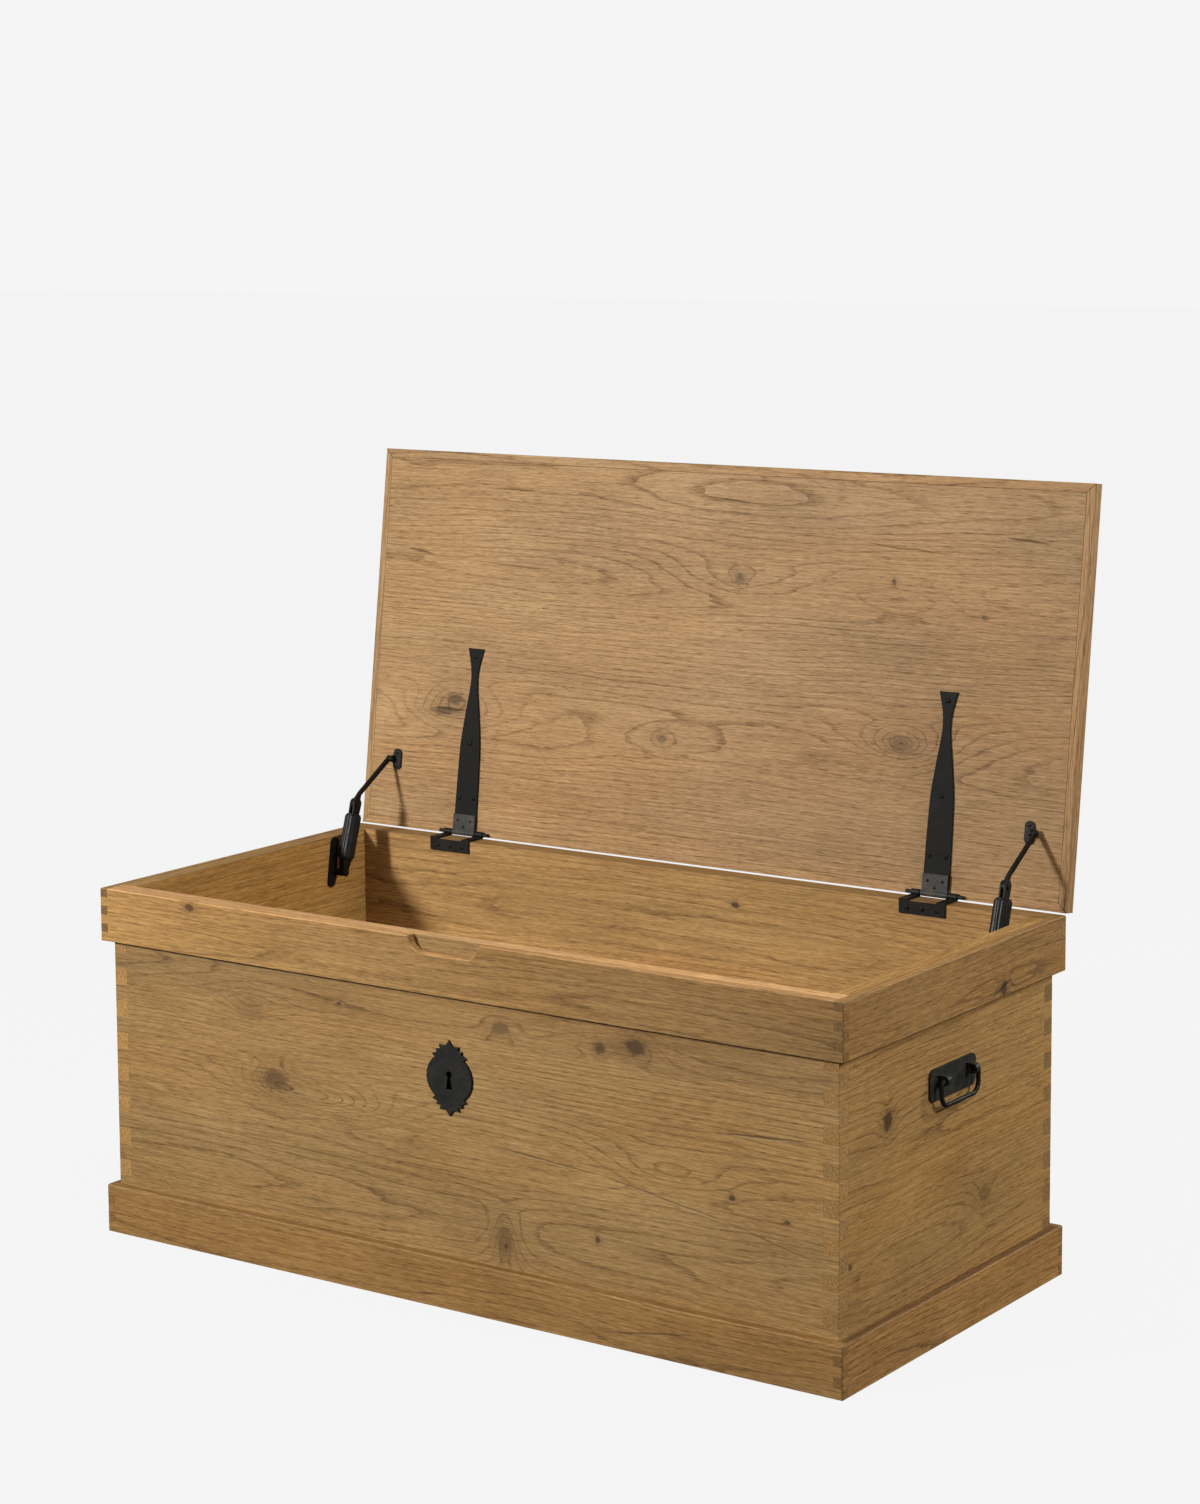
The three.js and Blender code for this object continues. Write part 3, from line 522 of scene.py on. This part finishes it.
LID_SPLITS = (
    Split(-0.408, 0.170, 0.062, 0.0022, 0.0, 1.0),
    Split(-0.321, 0.476, 0.075, 0.0018, -0.03, 0.7),
    Split(0.029, 0.479, 0.085, 0.0018, -0.08, 0.7),
    Split(-0.476, 0.385, 0.045, 0.0026, -0.15, 0.9),
    Split(-0.315, 0.373, 0.120, 0.0016, -0.05, 0.6),
    Split(0.298, 0.430, 0.130, 0.0016, -0.07, 0.6),
    Split(0.463, 0.449, 0.060, 0.0022, -0.08, 0.9),
    Split(-0.154, 0.232, 0.400, 0.0013, -0.02, 0.45),
)
COLLAR_KNOTS = {
    "front": (Knot(-0.398, 0.4425, 0.009, 0.006, 0.9), Knot(-0.034, 0.443, 0.0035, 0.007, 1.3)),
    "right": (Knot(0.105, 0.390, 0.007, 0.010, 1.10),),
}
COLLAR_SPLITS = {"right": (Split(0.100, 0.392, 0.050, 0.0040, 0.3, 0.9),)}
PLINTH_SPLITS = {"front": (Split(0.292, 0.026, 0.135, 0.0022, 0.16, 0.6),)}
FRONT_TINT = (0.87, 0.82, 0.66)
END_TINT = (1.04, 0.95, 0.70)
BAND_TINT = (0.84, 0.74, 0.53)
PLINTH_TINT = (0.77, 0.68, 0.49)
SIDE_PLINTH_TINT = (1.04, 0.88, 0.62)
LID_TINT = (0.95, 0.895, 0.845)
# Tints for the boards' inner faces: their own tone with painted light, much stronger on the left board's
# inner face.
INSIDE_TONE_AND_LIGHT = (1.11, 1.00, 0.74)
LEFT_INSIDE_PAINTED_LIGHT = (1.66, 1.51, 0.99)
# Painted highlights on the upward faces of the front board's rim and of the front collar.
RIM_PAINTED_HIGHLIGHT = (2.1, 2.1, 2.5)  # the front board's upper edge
COLLAR_PAINTED_HIGHLIGHT = (1.6, 1.6, 1.9)
# Painted shade on the plinth's upward ledges, darkest at the chest's ends.
LEDGE_PAINTED_SHADE = (0.9, 0.9, 0.9)
END_LEDGE_PAINTED_SHADE = (0.45, 0.45, 0.45)  # the plinth's at the chest's ends


def panel_boards():
    """The four sides and the bottom, by node name."""
    return {
        "front_board": Board(
            front_place, FRONT_STAVES, FRONT_KNOTS, FRONT_SPLITS, FRONT_SWIRLS, FRONT_TINT, 1.3,
            cut_dark=-0.08, fade=0.17, top_tint=RIM_PAINTED_HIGHLIGHT, inner_tint=INSIDE_TONE_AND_LIGHT,
        ),
        "back_board": Board(
            back_place, FRONT_STAVES, BACK_KNOTS, tint=FRONT_TINT, seed=7.9, inner_tint=INSIDE_TONE_AND_LIGHT,
        ),
        "left_end_board": Board(
            left_place, FRONT_STAVES, tint=END_TINT, seed=4.2, cut_dark=0.11, inner_tint=LEFT_INSIDE_PAINTED_LIGHT,
        ),
        "right_end_board": Board(
            right_place, RIGHT_STAVES, RIGHT_KNOTS, RIGHT_SPLITS, tint=END_TINT, seed=2.6,
            cut_dark=0.20, inner_tint=INSIDE_TONE_AND_LIGHT,
        ),
        "bottom_board": Board(bottom_place, single(0.05), seed=5.5),
    }


def lid_boards():
    """The lid and its lippings, by node name."""
    crosswise = Place(lid.origin, lid.across, lid.along, lid.out)
    return {
        "lid_board": Board(
            lid, LID_STAVES, LID_KNOTS, LID_SPLITS, LID_SWIRLS, LID_TINT, 14.4, fade=-0.13,
        ),
        "lid_lipping_front": Board(lid, single(0.55), tint=LID_TINT, seed=15.0),
        "lid_lipping_back": Board(lid, single(-0.03), tint=LID_TINT, seed=16.0),
        "lid_lipping_left": Board(crosswise, single(-0.5), tint=LID_TINT, seed=17.0),
        "lid_lipping_right": Board(crosswise, single(0.5), tint=LID_TINT, seed=18.0),
    }


def band_boards():
    """The collar's boards and the plinth's, by node name. The front collar grows darker along it and has a
    painted highlight on its upward faces.
    """
    sides = {"front": front_place, "back": back_place, "left": left_place, "right": right_place}
    collar, plinth = {}, {}
    for count, (side, place) in enumerate(sides.items()):
        in_front = side == "front"
        at_end = side in ("left", "right")
        collar["collar_" + side] = Board(
            place,
            single(0.395, 0.04),
            COLLAR_KNOTS.get(side, ()),
            COLLAR_SPLITS.get(side, ()),
            tint=BAND_TINT,
            seed=21.0 + count,
            cut_dark=0.45 if at_end else 0.02,
            fade=-0.38 if in_front else 0.0,
            top_tint=COLLAR_PAINTED_HIGHLIGHT if in_front else WHITE,
        )
        plinth["plinth_" + side] = Board(
            place,
            single(0.0, 0.05),
            splits=PLINTH_SPLITS.get(side, ()),
            tint=SIDE_PLINTH_TINT if at_end else PLINTH_TINT,
            seed=31.0 + count,
            cut_dark=0.45 if at_end else 0.02,
            top_tint=END_LEDGE_PAINTED_SHADE if at_end else LEDGE_PAINTED_SHADE,
        )
    return collar, plinth


# ---- iron ----


def iron(name, colour, rough=0.5, hammer=0.25, specular=0.30, shaded_from=None):
    """Blackened iron: uneven, faintly hammered, a little browner and duller in patches.

    Whatever lies past the given distance along Y, as a keyhole's bottom does, is painted black without
    shine: painted shade in the recess.
    """
    tree = Tree(name)
    position = tree.add("ShaderNodeTexCoord").outputs["Object"]
    x, y, z = (tree.along(position, axis) for axis in (X, Y, Z))
    patch = tree.noise(x * 60.0, y * 60.0, z * 60.0, detail=3.0)
    dents = tree.noise(x * 240.0, y * 240.0, z * 240.0, detail=1.0)
    grain = tree.noise(x * 2200.0, y * 2200.0, z * 2200.0, detail=2.0)
    brown = tuple(c * f for c, f in zip(colour, (1.9, 1.6, 1.35)))
    base = tree.mix(tree.ramp(patch, -0.1, 0.3), colour, brown)
    base = tree.mix(tree.ramp(grain, 0.05, 0.3) * 0.4, base, tuple(c * 2.4 for c in colour))
    shine = tree.plain(specular)
    # Painted shade: the keyhole's floor is painted black and loses its shine.
    if shaded_from is not None:
        behind = tree.step(y, shaded_from)
        base = tree.mix(behind, base, (0.001, 0.001, 0.001))
        shine = shine * (1.0 - behind)
    roughness = patch * 0.25 + rough + grain * 0.1
    return tree.finish(base, roughness, (grain * 0.15 + dents) * hammer, specular=shine)


# ---- meshes ----


def piece(name, mesh, material, body, slot):
    """A named smooth-shaded mesh object that rides on a CAD body."""
    for polygon in mesh.polygons:
        polygon.use_smooth = True
    mesh.materials.clear()
    mesh.materials.append(material)
    made = bpy.data.objects.new(name, mesh)
    bpy.context.scene.collection.objects.link(made)
    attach(made, body)
    return made


def body_of(node):
    return frame["nodes"][node]["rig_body"]


def slot_of(node):
    return next(row["material_slot"] for row in frame["record"]["subparts"] if row["node"] == node)


SHARP = math.radians(28)  # an edge that turns more than this is rounded
NEARLY_FLAT = math.radians(0.6)  # faces that meet at less than this are joined
SAME_POINT = 1e-6
FLAT_FACE_WEIGHT = 80  # keeps the flat faces beside a rounded edge shaded flat


def flatten_faces(made):
    made.modifiers.new("flat_faces", "WEIGHTED_NORMAL").weight = FLAT_FACE_WEIGHT


def eased(node, material, width_of, segments=3):
    """Remakes a CAD node with rounded edges. width_of gives the rounding of an edge from its ends."""
    work = bmesh.new()
    work.from_mesh(frame["nodes"][node].data)
    bmesh.ops.remove_doubles(work, verts=work.verts, dist=SAME_POINT)
    bmesh.ops.dissolve_limit(work, angle_limit=NEARLY_FLAT, verts=work.verts, edges=work.edges)
    widths = []
    for edge in work.edges:
        sharp = len(edge.link_faces) == 2 and edge.calc_face_angle(0.0) > SHARP
        widths.append(width_of(edge.verts[0].co, edge.verts[1].co) if sharp else 0.0)
    widest = max(widths)
    mesh = bpy.data.meshes.new(node + "_eased")
    work.to_mesh(mesh)
    work.free()
    weights = mesh.attributes.new("bevel_weight_edge", "FLOAT", "EDGE")
    weights.data.foreach_set("value", [width / widest for width in widths])
    made = piece(node + "_eased", mesh, material, body_of(node), slot_of(node))
    bevel = made.modifiers.new("eased", "BEVEL")
    bevel.width = widest
    bevel.segments = segments
    bevel.limit_method = "WEIGHT"
    bevel.use_clamp_overlap = True
    flatten_faces(made)
    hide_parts(node)
    return made


def near(value, target, within=0.05 * MM):
    return abs(value - target) < within


def in_planes(a, b, planes):
    """How many of the planes, each (axis, distance), an edge lies in."""
    return sum(near(a.dot(axis), d) and near(b.dot(axis), d) for axis, d in planes)


FINE_EDGE = 0.3 * MM
PANEL_EDGE = 0.9 * MM
COLLAR_EDGE = 1.8 * MM
PLINTH_EDGE = 2.6 * MM
LID_EDGE = 2.4 * MM
LIPPING_EDGE = 0.45 * MM
PULL_EDGE = 2.2 * MM
PULL_HALF = 53 * MM  # the finger pull reaches this far each way from the middle


def outline_rule(planes, wide, fine):
    """Edges where two of the outer planes meet are rounded wide, and the others are only eased."""

    def width(a, b):
        return wide if in_planes(a, b, planes) >= 2 else fine

    return width


def lid_rule():
    planes = (
        (lid.along, -high("lid_lipping_right").x),
        (lid.along, high("lid_lipping_right").x),
        (lid.across, lid.across.dot(lid.origin)),
        (lid.across, lid.across.dot(lid.origin) + LID_DEPTH),
        (lid.out, lid.out.dot(lid.origin)),
        (lid.out, lid.out.dot(lid.origin) - LID_THICK),
    )
    return outline_rule(planes, LID_EDGE, LIPPING_EDGE)


def band_rule(top, wide):
    """A band's outer edges are rounded, and its finger pull's edge too."""
    planes = ((X, -HALF_WIDTH), (X, HALF_WIDTH), (Y, FRONT), (Y, BACK), (Z, top))
    plain = outline_rule(planes, wide, FINE_EDGE)

    def width(a, b):
        in_face = near(a.y, FRONT) and near(b.y, FRONT)
        if in_face and abs(a.x) < PULL_HALF and abs(b.x) < PULL_HALF:
            return PULL_EDGE
        return plain(a, b)

    return width


def panel_rule():
    """The box's upright corners, outside and inside, are rounded, and so is the rim's inner edge."""
    corners = ((X, -PANEL_X), (X, PANEL_X), (Y, PANEL_FRONT), (Y, PANEL_BACK))
    inner = (
        (X, -PANEL_X + BOARD_THICK),
        (X, PANEL_X - BOARD_THICK),
        (Y, PANEL_FRONT + BOARD_THICK),
        (Y, PANEL_BACK - BOARD_THICK),
        (Z, TOP),
    )

    def width(a, b):
        at_rim = in_planes(a, b, inner) >= 2 and near(a.z, TOP)
        return PANEL_EDGE if at_rim or in_planes(a, b, corners) >= 2 else FINE_EDGE

    return width


def wood_pieces(boards, width_of):
    for node, board in boards.items():
        name = "oak_" + node.removesuffix("_board").replace("lid_lipping", "lipping")
        eased(node, oak(name, board), width_of)


# ---- turned and drawn iron ----


def loft(rings, closed_ends=True):
    """A skin over equal rings of points, each ring joined to the next."""
    work = bmesh.new()
    rows = [[work.verts.new(point) for point in ring] for ring in rings]
    count = len(rows[0])
    for row, following in zip(rows, rows[1:]):
        for i in range(count):
            j = (i + 1) % count
            work.faces.new((row[i], row[j], following[j], following[i]))
    if closed_ends:
        work.faces.new(list(reversed(rows[0])))
        work.faces.new(rows[-1])
    bmesh.ops.remove_doubles(work, verts=work.verts, dist=SAME_POINT)
    bmesh.ops.recalc_face_normals(work, faces=work.faces)
    mesh = bpy.data.meshes.new("skin")
    work.to_mesh(mesh)
    work.free()
    return mesh


def across_axes(axis):
    """Two directions square to an axis and to each other."""
    first = axis.orthogonal().normalized()
    if abs(axis.x) < 0.5:
        first = (X - axis * axis.x).normalized()
    return first, axis.cross(first)


def circle(steps):
    """Angles evenly round a circle."""
    return [2 * math.pi * i / steps for i in range(steps)]


def turned(centre, axis, profile, sides=32, shape=None):
    """A turned piece. The profile is (radius, height along the axis), and shape may change a height."""
    first, second = across_axes(axis)
    rings = []
    for radius, height in profile:
        ring = []
        for angle in circle(sides):
            u, v = radius * math.cos(angle), radius * math.sin(angle)
            lift = height if shape is None else shape(u, v, height)
            ring.append(centre + first * u + second * v + axis * lift)
        rings.append(ring)
    return loft(rings)


SCREW_HEAD = 3.3 * MM
SCREW_DOME = 1.7 * MM
SCREW_SHANK = 1.5 * MM
SCREW_LENGTH = 11 * MM
SLOT_HALF = 0.45 * MM
SLOT_REACH = 1.9 * MM
SLOT_DEPTH = 0.9 * MM


def cross_recess(u, v, height):
    """Sinks the middle of a screw's dome where its cross slot is."""
    in_slot = (abs(u) < SLOT_HALF and abs(v) < SLOT_REACH) or (abs(v) < SLOT_HALF and abs(u) < SLOT_REACH)
    return height - SLOT_DEPTH if in_slot and height > 0 else height


def dome(radius, height, steps=12):
    """A dome's profile from its rim to near its middle."""
    rows = []
    for i in range(steps + 1):
        angle = math.pi / 2 * i / steps
        rows.append((max(radius * math.cos(angle), 0.02 * MM), height * math.sin(angle)))
    return rows


def screw(name, seat, axis, material, body, slot):
    """A cross-slotted dome-headed screw. The seat is the middle of its head's underside."""
    shank = [(SCREW_SHANK * 0.4, -SCREW_LENGTH), (SCREW_SHANK, -SCREW_LENGTH + 2 * MM), (SCREW_SHANK, 0.0)]
    mesh = turned(seat, axis, shank + dome(SCREW_HEAD, SCREW_DOME), shape=cross_recess)
    return piece(name, mesh, material, body, slot)


def framed_screws(material):
    """Remakes the CAD's own screws, each on its own axis."""
    for node, made in frame["nodes"].items():
        if "screw" not in node:
            continue
        axis = -Y if "leaf" in node else lid.out
        top = max(made.data.vertices, key=lambda vertex: vertex.co.dot(axis)).co
        seat = top - axis * SCREW_DOME
        remade = screw(node + "_slotted", seat, axis, material, body_of(node), slot_of(node))
        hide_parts(node)


def rivet(name, seat, axis, size, material, host):
    """A plain dome on a CAD node's plate."""
    mesh = turned(seat, axis, dome(size.radius, size.height, 8), sides=24)
    return piece(name, mesh, material, body_of(host), slot_of(host))


RIVET_PLACES = ((-10.5 * MM, 19.5 * MM), (10.5 * MM, 19.5 * MM), (0.0, 11.0 * MM))
Dome = namedtuple("Dome", "radius height")
PLATE_RIVET = Dome(2.1 * MM, 1.0 * MM)
BRACKET_HEAD = Dome(2.6 * MM, 1.2 * MM)
BASE_HEAD = Dome(2.8 * MM, 1.3 * MM)
ROOT_FACE = 5.4 * MM  # the root plate's face, out from the lid's underside
BRACKET_FACE = 2.8 * MM
STAY_X = 492.5 * MM
STAY_ALONG = 93 * MM
BRACKET_SCREW = 9.5 * MM  # from the stay's upper pivot
LEAN = math.radians(8.7)
BASE_SCREW = 22 * MM  # along the base plate, from its middle


def side_fixings(label, side, dark):
    """The rivets and screws that one side's hinge, stay and brackets are fixed with."""
    plate = "hinge_root_plate_" + label
    bracket = "stay_lid_bracket_" + label
    base = "stay_base_plate_" + label
    for count, (offset, along) in enumerate(RIVET_PLACES, 1):
        seat = at(lid, side * HINGE_X + offset, along, ROOT_FACE)
        rivet(f"{plate}_rivet_{count}", seat, lid.out, PLATE_RIVET, dark, plate)
    for count, offset in enumerate((-BRACKET_SCREW, BRACKET_SCREW), 1):
        seat = at(lid, side * STAY_X, STAY_ALONG + offset, BRACKET_FACE)
        rivet(f"{bracket}_screw_{count}", seat, lid.out, BRACKET_HEAD, dark, bracket)
    middle = (low(base) + high(base)) / 2
    face = X * (high(base).x if side < 0 else low(base).x)
    for count, offset in enumerate((-BASE_SCREW, BASE_SCREW), 1):
        seat = face + Y * (middle.y + offset * math.sin(LEAN)) + Z * (middle.z + offset * math.cos(LEAN))
        rivet(f"{base}_screw_{count}", seat, -X * side, BASE_HEAD, dark, base)


SLEEVE_RADIUS = 11.3 * MM
SLEEVE_BORE = 6.6 * MM
RIBS = 12
RIB_DEPTH = 0.9 * MM
END_EASE = 0.6 * MM
END_EASES = ((0.0, END_EASE), (0.2 * MM, 0.25 * MM), (END_EASE, 0.0))  # in from an end, and in from the side


def ribbed_sleeve(node, material):
    """The damper's sleeve, with rounded ribs along it and eased ends."""
    source = frame["nodes"][node].data
    axis = max(source.polygons, key=lambda polygon: polygon.normal.z).normal.copy()
    points = [vertex.co for vertex in source.vertices]
    ends = [point.dot(axis) for point in points]
    centre = sum(points, Vector()) / len(points)
    centre -= axis * centre.dot(axis)
    first, second = X, axis.cross(X).normalized()
    angles = circle(RIBS * 8)

    def spoke(height, angle, radius):
        return centre + axis * height + (first * math.cos(angle) + second * math.sin(angle)) * radius

    def ribbed(height, ease):
        rib_rise = {a: math.sqrt(0.5 + 0.5 * math.cos(RIBS * a)) for a in angles}
        return [spoke(height, a, SLEEVE_RADIUS - RIB_DEPTH * (1 - rib_rise[a]) - ease) for a in angles]

    def bore(height):
        return [spoke(height, a, SLEEVE_BORE) for a in angles]

    bottom, top = min(ends), max(ends)
    rings = [bore(bottom)]
    rings += [ribbed(bottom + inwards, ease) for inwards, ease in END_EASES]
    rings += [ribbed(top - inwards, ease) for inwards, ease in reversed(END_EASES)]
    rings += [bore(top), bore(bottom)]
    made = piece(node + "_ribbed", loft(rings, closed_ends=False), material, body_of(node), slot_of(node))
    flatten_faces(made)
    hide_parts(node)


BAIL_RADIUS = 3.25 * MM
GRIP_RADIUS = 2.8 * MM  # the bar as drawn here, a little slimmer than the CAD one
BAIL_BEND = 5 * MM
BAIL_CORNER = 13 * MM
BAIL_PIN = 30.5 * MM  # the bail's end, from the middle of the chest's end


def arc(middle, radius, start, end, steps):
    """Points (y, z) round a bend, by angles from +Y towards +Z."""
    angles = [math.radians(start + (end - start) * i / steps) for i in range(steps + 1)]
    return [(middle[0] + radius * math.cos(a), middle[1] + radius * math.sin(a)) for a in angles]


def bail(label, material):
    """The handle's grip, one round bar bent twice at each side."""
    node = "handle_bail_" + label
    pivot = joint("handle_swing_" + label)
    half = (high(node).y - low(node).y) / 2 - BAIL_RADIUS
    bottom = low(node).z + BAIL_RADIUS - pivot.z
    side = [(BAIL_PIN, 0.0)]
    side += arc((half - BAIL_BEND, -BAIL_BEND), BAIL_BEND, 90, 0, 8)
    side += arc((half - BAIL_CORNER, bottom + BAIL_CORNER), BAIL_CORNER, 0, -90, 14)
    path = side + [(-y, z) for y, z in reversed(side)]
    rings = []
    for i, (y, z) in enumerate(path):
        before, after = path[max(i - 1, 0)], path[min(i + 1, len(path) - 1)]
        ahead = Vector((0, after[0] - before[0], after[1] - before[1])).normalized()
        outward = ahead.cross(X)
        centre = pivot + Vector((0, y, z))
        rings.append([centre + (X * math.cos(a) + outward * math.sin(a)) * GRIP_RADIUS for a in circle(20)])
    made = piece(node + "_bent", loft(rings), material, body_of(node), slot_of(node))
    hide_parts(node)


IRON_EASE = 0.35 * MM
ROOT_EASE = 0.8 * MM
KEYHOLE_SHADE_DEPTH = 1.2 * MM


def iron_pieces():
    black = iron("black_iron", (0.0070, 0.0068, 0.0055), specular=0.18)
    # The key plate's keyhole gets painted shade past this depth.
    key_plate = iron("key_plate_iron", (0.0085, 0.0083, 0.0065), shaded_from=PANEL_FRONT - KEYHOLE_SHADE_DEPTH)
    straps = iron("strap_iron", (0.0060, 0.0058, 0.0048), rough=0.56, specular=0.10)
    grey = iron("plate_iron", (0.042, 0.041, 0.037), rough=0.45, specular=0.12)
    painted = iron("damper_paint", (0.012, 0.0115, 0.0105), rough=0.36, hammer=0.0, specular=0.16)
    dark = iron("fixing_iron", (0.004, 0.004, 0.0035), rough=0.36, hammer=0.1, specular=0.20)
    handles = iron("handle_iron", (0.013, 0.0132, 0.0115), rough=0.40, hammer=0.2, specular=0.12)
    handle_plates = iron("handle_plate_iron", (0.024, 0.0245, 0.0210), rough=0.46, hammer=0.3, specular=0.14)
    framed_screws(dark)
    for label, side in (("left", -1), ("right", 1)):
        ribbed_sleeve("stay_damper_sleeve_" + label, painted)
        bail(label, handles)
        side_fixings(label, side, dark)
    for node, made in frame["nodes"].items():
        if made.hide_render:
            continue
        chosen = black
        if "root_plate" in node:
            chosen = grey
        elif "strap" in node:
            chosen = straps
        elif "handle" in node:
            chosen = handle_plates
        elif "keyhole" in node:
            chosen = key_plate
        easing = ROOT_EASE if chosen is grey else IRON_EASE
        eased(node, chosen, lambda a, b: easing, segments=2)


# ---- stage, camera and lights ----


PAPER = (0.913, 0.913, 0.913, 1.0)
HORIZON_LIGHT = 0.10
ZENITH_LIGHT = 0.47
FLOOR_LIGHT = 0.03
FLOOR_SEEN = 0.975
FLOOR_REACH = 30.0
FLOOR_PAINT = (0.02, 0.02, 0.02, 1.0)

# Each lamp's place and target are measured from under the middle of the box.
Lamp = namedtuple("Lamp", "name place target size watts")
LAMPS = (
    Lamp("key", (-1.62, -3.0, 1.63), (0.0, 0.0, 0.5), 0.45, 127.0),
    Lamp("overhead", (-1.4, -2.6, 3.0), (0.0, 0.0, 0.5), 2.4, 12.0),
    Lamp("fill", (2.7, -0.007, 1.65), (0.3, 0.0, 0.35), 0.22, 30.0),
    Lamp("side", (1.97, 2.543, 1.72), (0.55, 0.0, 0.3), 0.14, 38.0),
)


def seen_or_lighting(tree, seen, lighting):
    """A strength that differs between what the camera sees and what lights the chest."""
    camera = Number(tree, tree.add("ShaderNodeLightPath").outputs["Is Camera Ray"])
    return camera * (seen - lighting) + lighting


def pale_floor():
    tree = Tree("pale_floor")
    glow = tree.add("ShaderNodeEmission")
    glow.inputs["Color"].default_value = PAPER
    tree.feed(glow.inputs["Strength"], seen_or_lighting(tree, FLOOR_SEEN, FLOOR_LIGHT))
    soft = tree.add("ShaderNodeBsdfDiffuse")
    soft.inputs["Color"].default_value = FLOOR_PAINT
    both = tree.add("ShaderNodeAddShader")
    tree.links.new(glow.outputs[0], both.inputs[0])
    tree.links.new(soft.outputs[0], both.inputs[1])
    tree.links.new(both.outputs[0], tree.add("ShaderNodeOutputMaterial").inputs[0])
    mesh = bpy.data.meshes.new("floor")
    corners = [(x * FLOOR_REACH, y * FLOOR_REACH, 0) for x, y in ((-1, -1), (1, -1), (1, 1), (-1, 1))]
    mesh.from_pydata(corners, [], [(0, 1, 2, 3)])
    mesh.materials.append(tree.material)
    floor = bpy.data.objects.new("floor", mesh)
    bpy.context.scene.collection.objects.link(floor)


def studio_world():
    """An even pale backdrop to look at, and light that grows from the horizon to overhead."""
    world = bpy.data.worlds.new("studio")
    world.use_nodes = True
    nodes, links = world.node_tree.nodes, world.node_tree.links
    background = nodes["Background"]
    background.inputs["Color"].default_value = PAPER
    direction = nodes.new("ShaderNodeSeparateXYZ")
    links.new(nodes.new("ShaderNodeTexCoord").outputs["Generated"], direction.inputs[0])
    lighting = nodes.new("ShaderNodeMapRange")
    lighting.inputs["To Min"].default_value = HORIZON_LIGHT
    lighting.inputs["To Max"].default_value = HORIZON_LIGHT + ZENITH_LIGHT
    links.new(direction.outputs["Z"], lighting.inputs["Value"])
    seen = nodes.new("ShaderNodeMix")
    links.new(nodes.new("ShaderNodeLightPath").outputs["Is Camera Ray"], seen.inputs[0])
    links.new(lighting.outputs[0], seen.inputs[2])
    seen.inputs[3].default_value = 1.0
    links.new(seen.outputs[0], background.inputs["Strength"])
    bpy.context.scene.world = world


def softbox(lamp):
    light = bpy.data.lights.new(lamp.name, "AREA")
    light.shape = "DISK"
    light.size = lamp.size
    light.energy = lamp.watts
    made = bpy.data.objects.new(lamp.name, light)
    made.location = Vector(lamp.place) + Y * MIDDLE
    made.rotation_mode = "QUATERNION"
    aim = Vector(lamp.target) - Vector(lamp.place)
    made.rotation_quaternion = aim.to_track_quat("-Z", "Y")
    bpy.context.scene.collection.objects.link(made)


CAMERA_PLACE = (2.3781, -3.3360, 1.3306)  # from under the middle of the box
CAMERA_TURN = math.radians(34.959)
CAMERA_TILT = math.radians(7.003)
CAMERA_ROLL = math.radians(-0.364)
CAMERA_FOCAL = 2.229588  # in picture heights
CAMERA_SHIFT = -0.101064
SENSOR = 36.0


def studio_camera():
    """Looks down at the chest from its front right."""
    place = Vector(CAMERA_PLACE) + Y * MIDDLE
    level = X * math.cos(CAMERA_TURN) + Y * math.sin(CAMERA_TURN)
    ahead = Y * math.cos(CAMERA_TURN) - X * math.sin(CAMERA_TURN)
    forward = ahead * math.cos(CAMERA_TILT) - Z * math.sin(CAMERA_TILT)
    upright = level.cross(forward)
    right = level * math.cos(CAMERA_ROLL) + upright * math.sin(CAMERA_ROLL)
    up = upright * math.cos(CAMERA_ROLL) - level * math.sin(CAMERA_ROLL)
    data = bpy.data.cameras.new("camera")
    data.sensor_width = SENSOR
    data.sensor_fit = "AUTO"
    data.lens = CAMERA_FOCAL * SENSOR
    data.shift_y = CAMERA_SHIFT
    camera = bpy.data.objects.new("camera", data)
    camera.matrix_world = Matrix.Translation(place) @ Matrix((right, up, -forward)).transposed().to_4x4()
    bpy.context.scene.collection.objects.link(camera)
    bpy.context.scene.camera = camera


studio_camera()
studio_world()
pale_floor()
for lamp in LAMPS:
    softbox(lamp)
bpy.context.scene.view_settings.view_transform = "Standard"

wood_pieces(panel_boards(), panel_rule())
wood_pieces(lid_boards(), lid_rule())
collar_boards, plinth_boards = band_boards()
wood_pieces(collar_boards, band_rule(TOP, COLLAR_EDGE))
wood_pieces(plinth_boards, band_rule(high("plinth_front").z, PLINTH_EDGE))
iron_pieces()
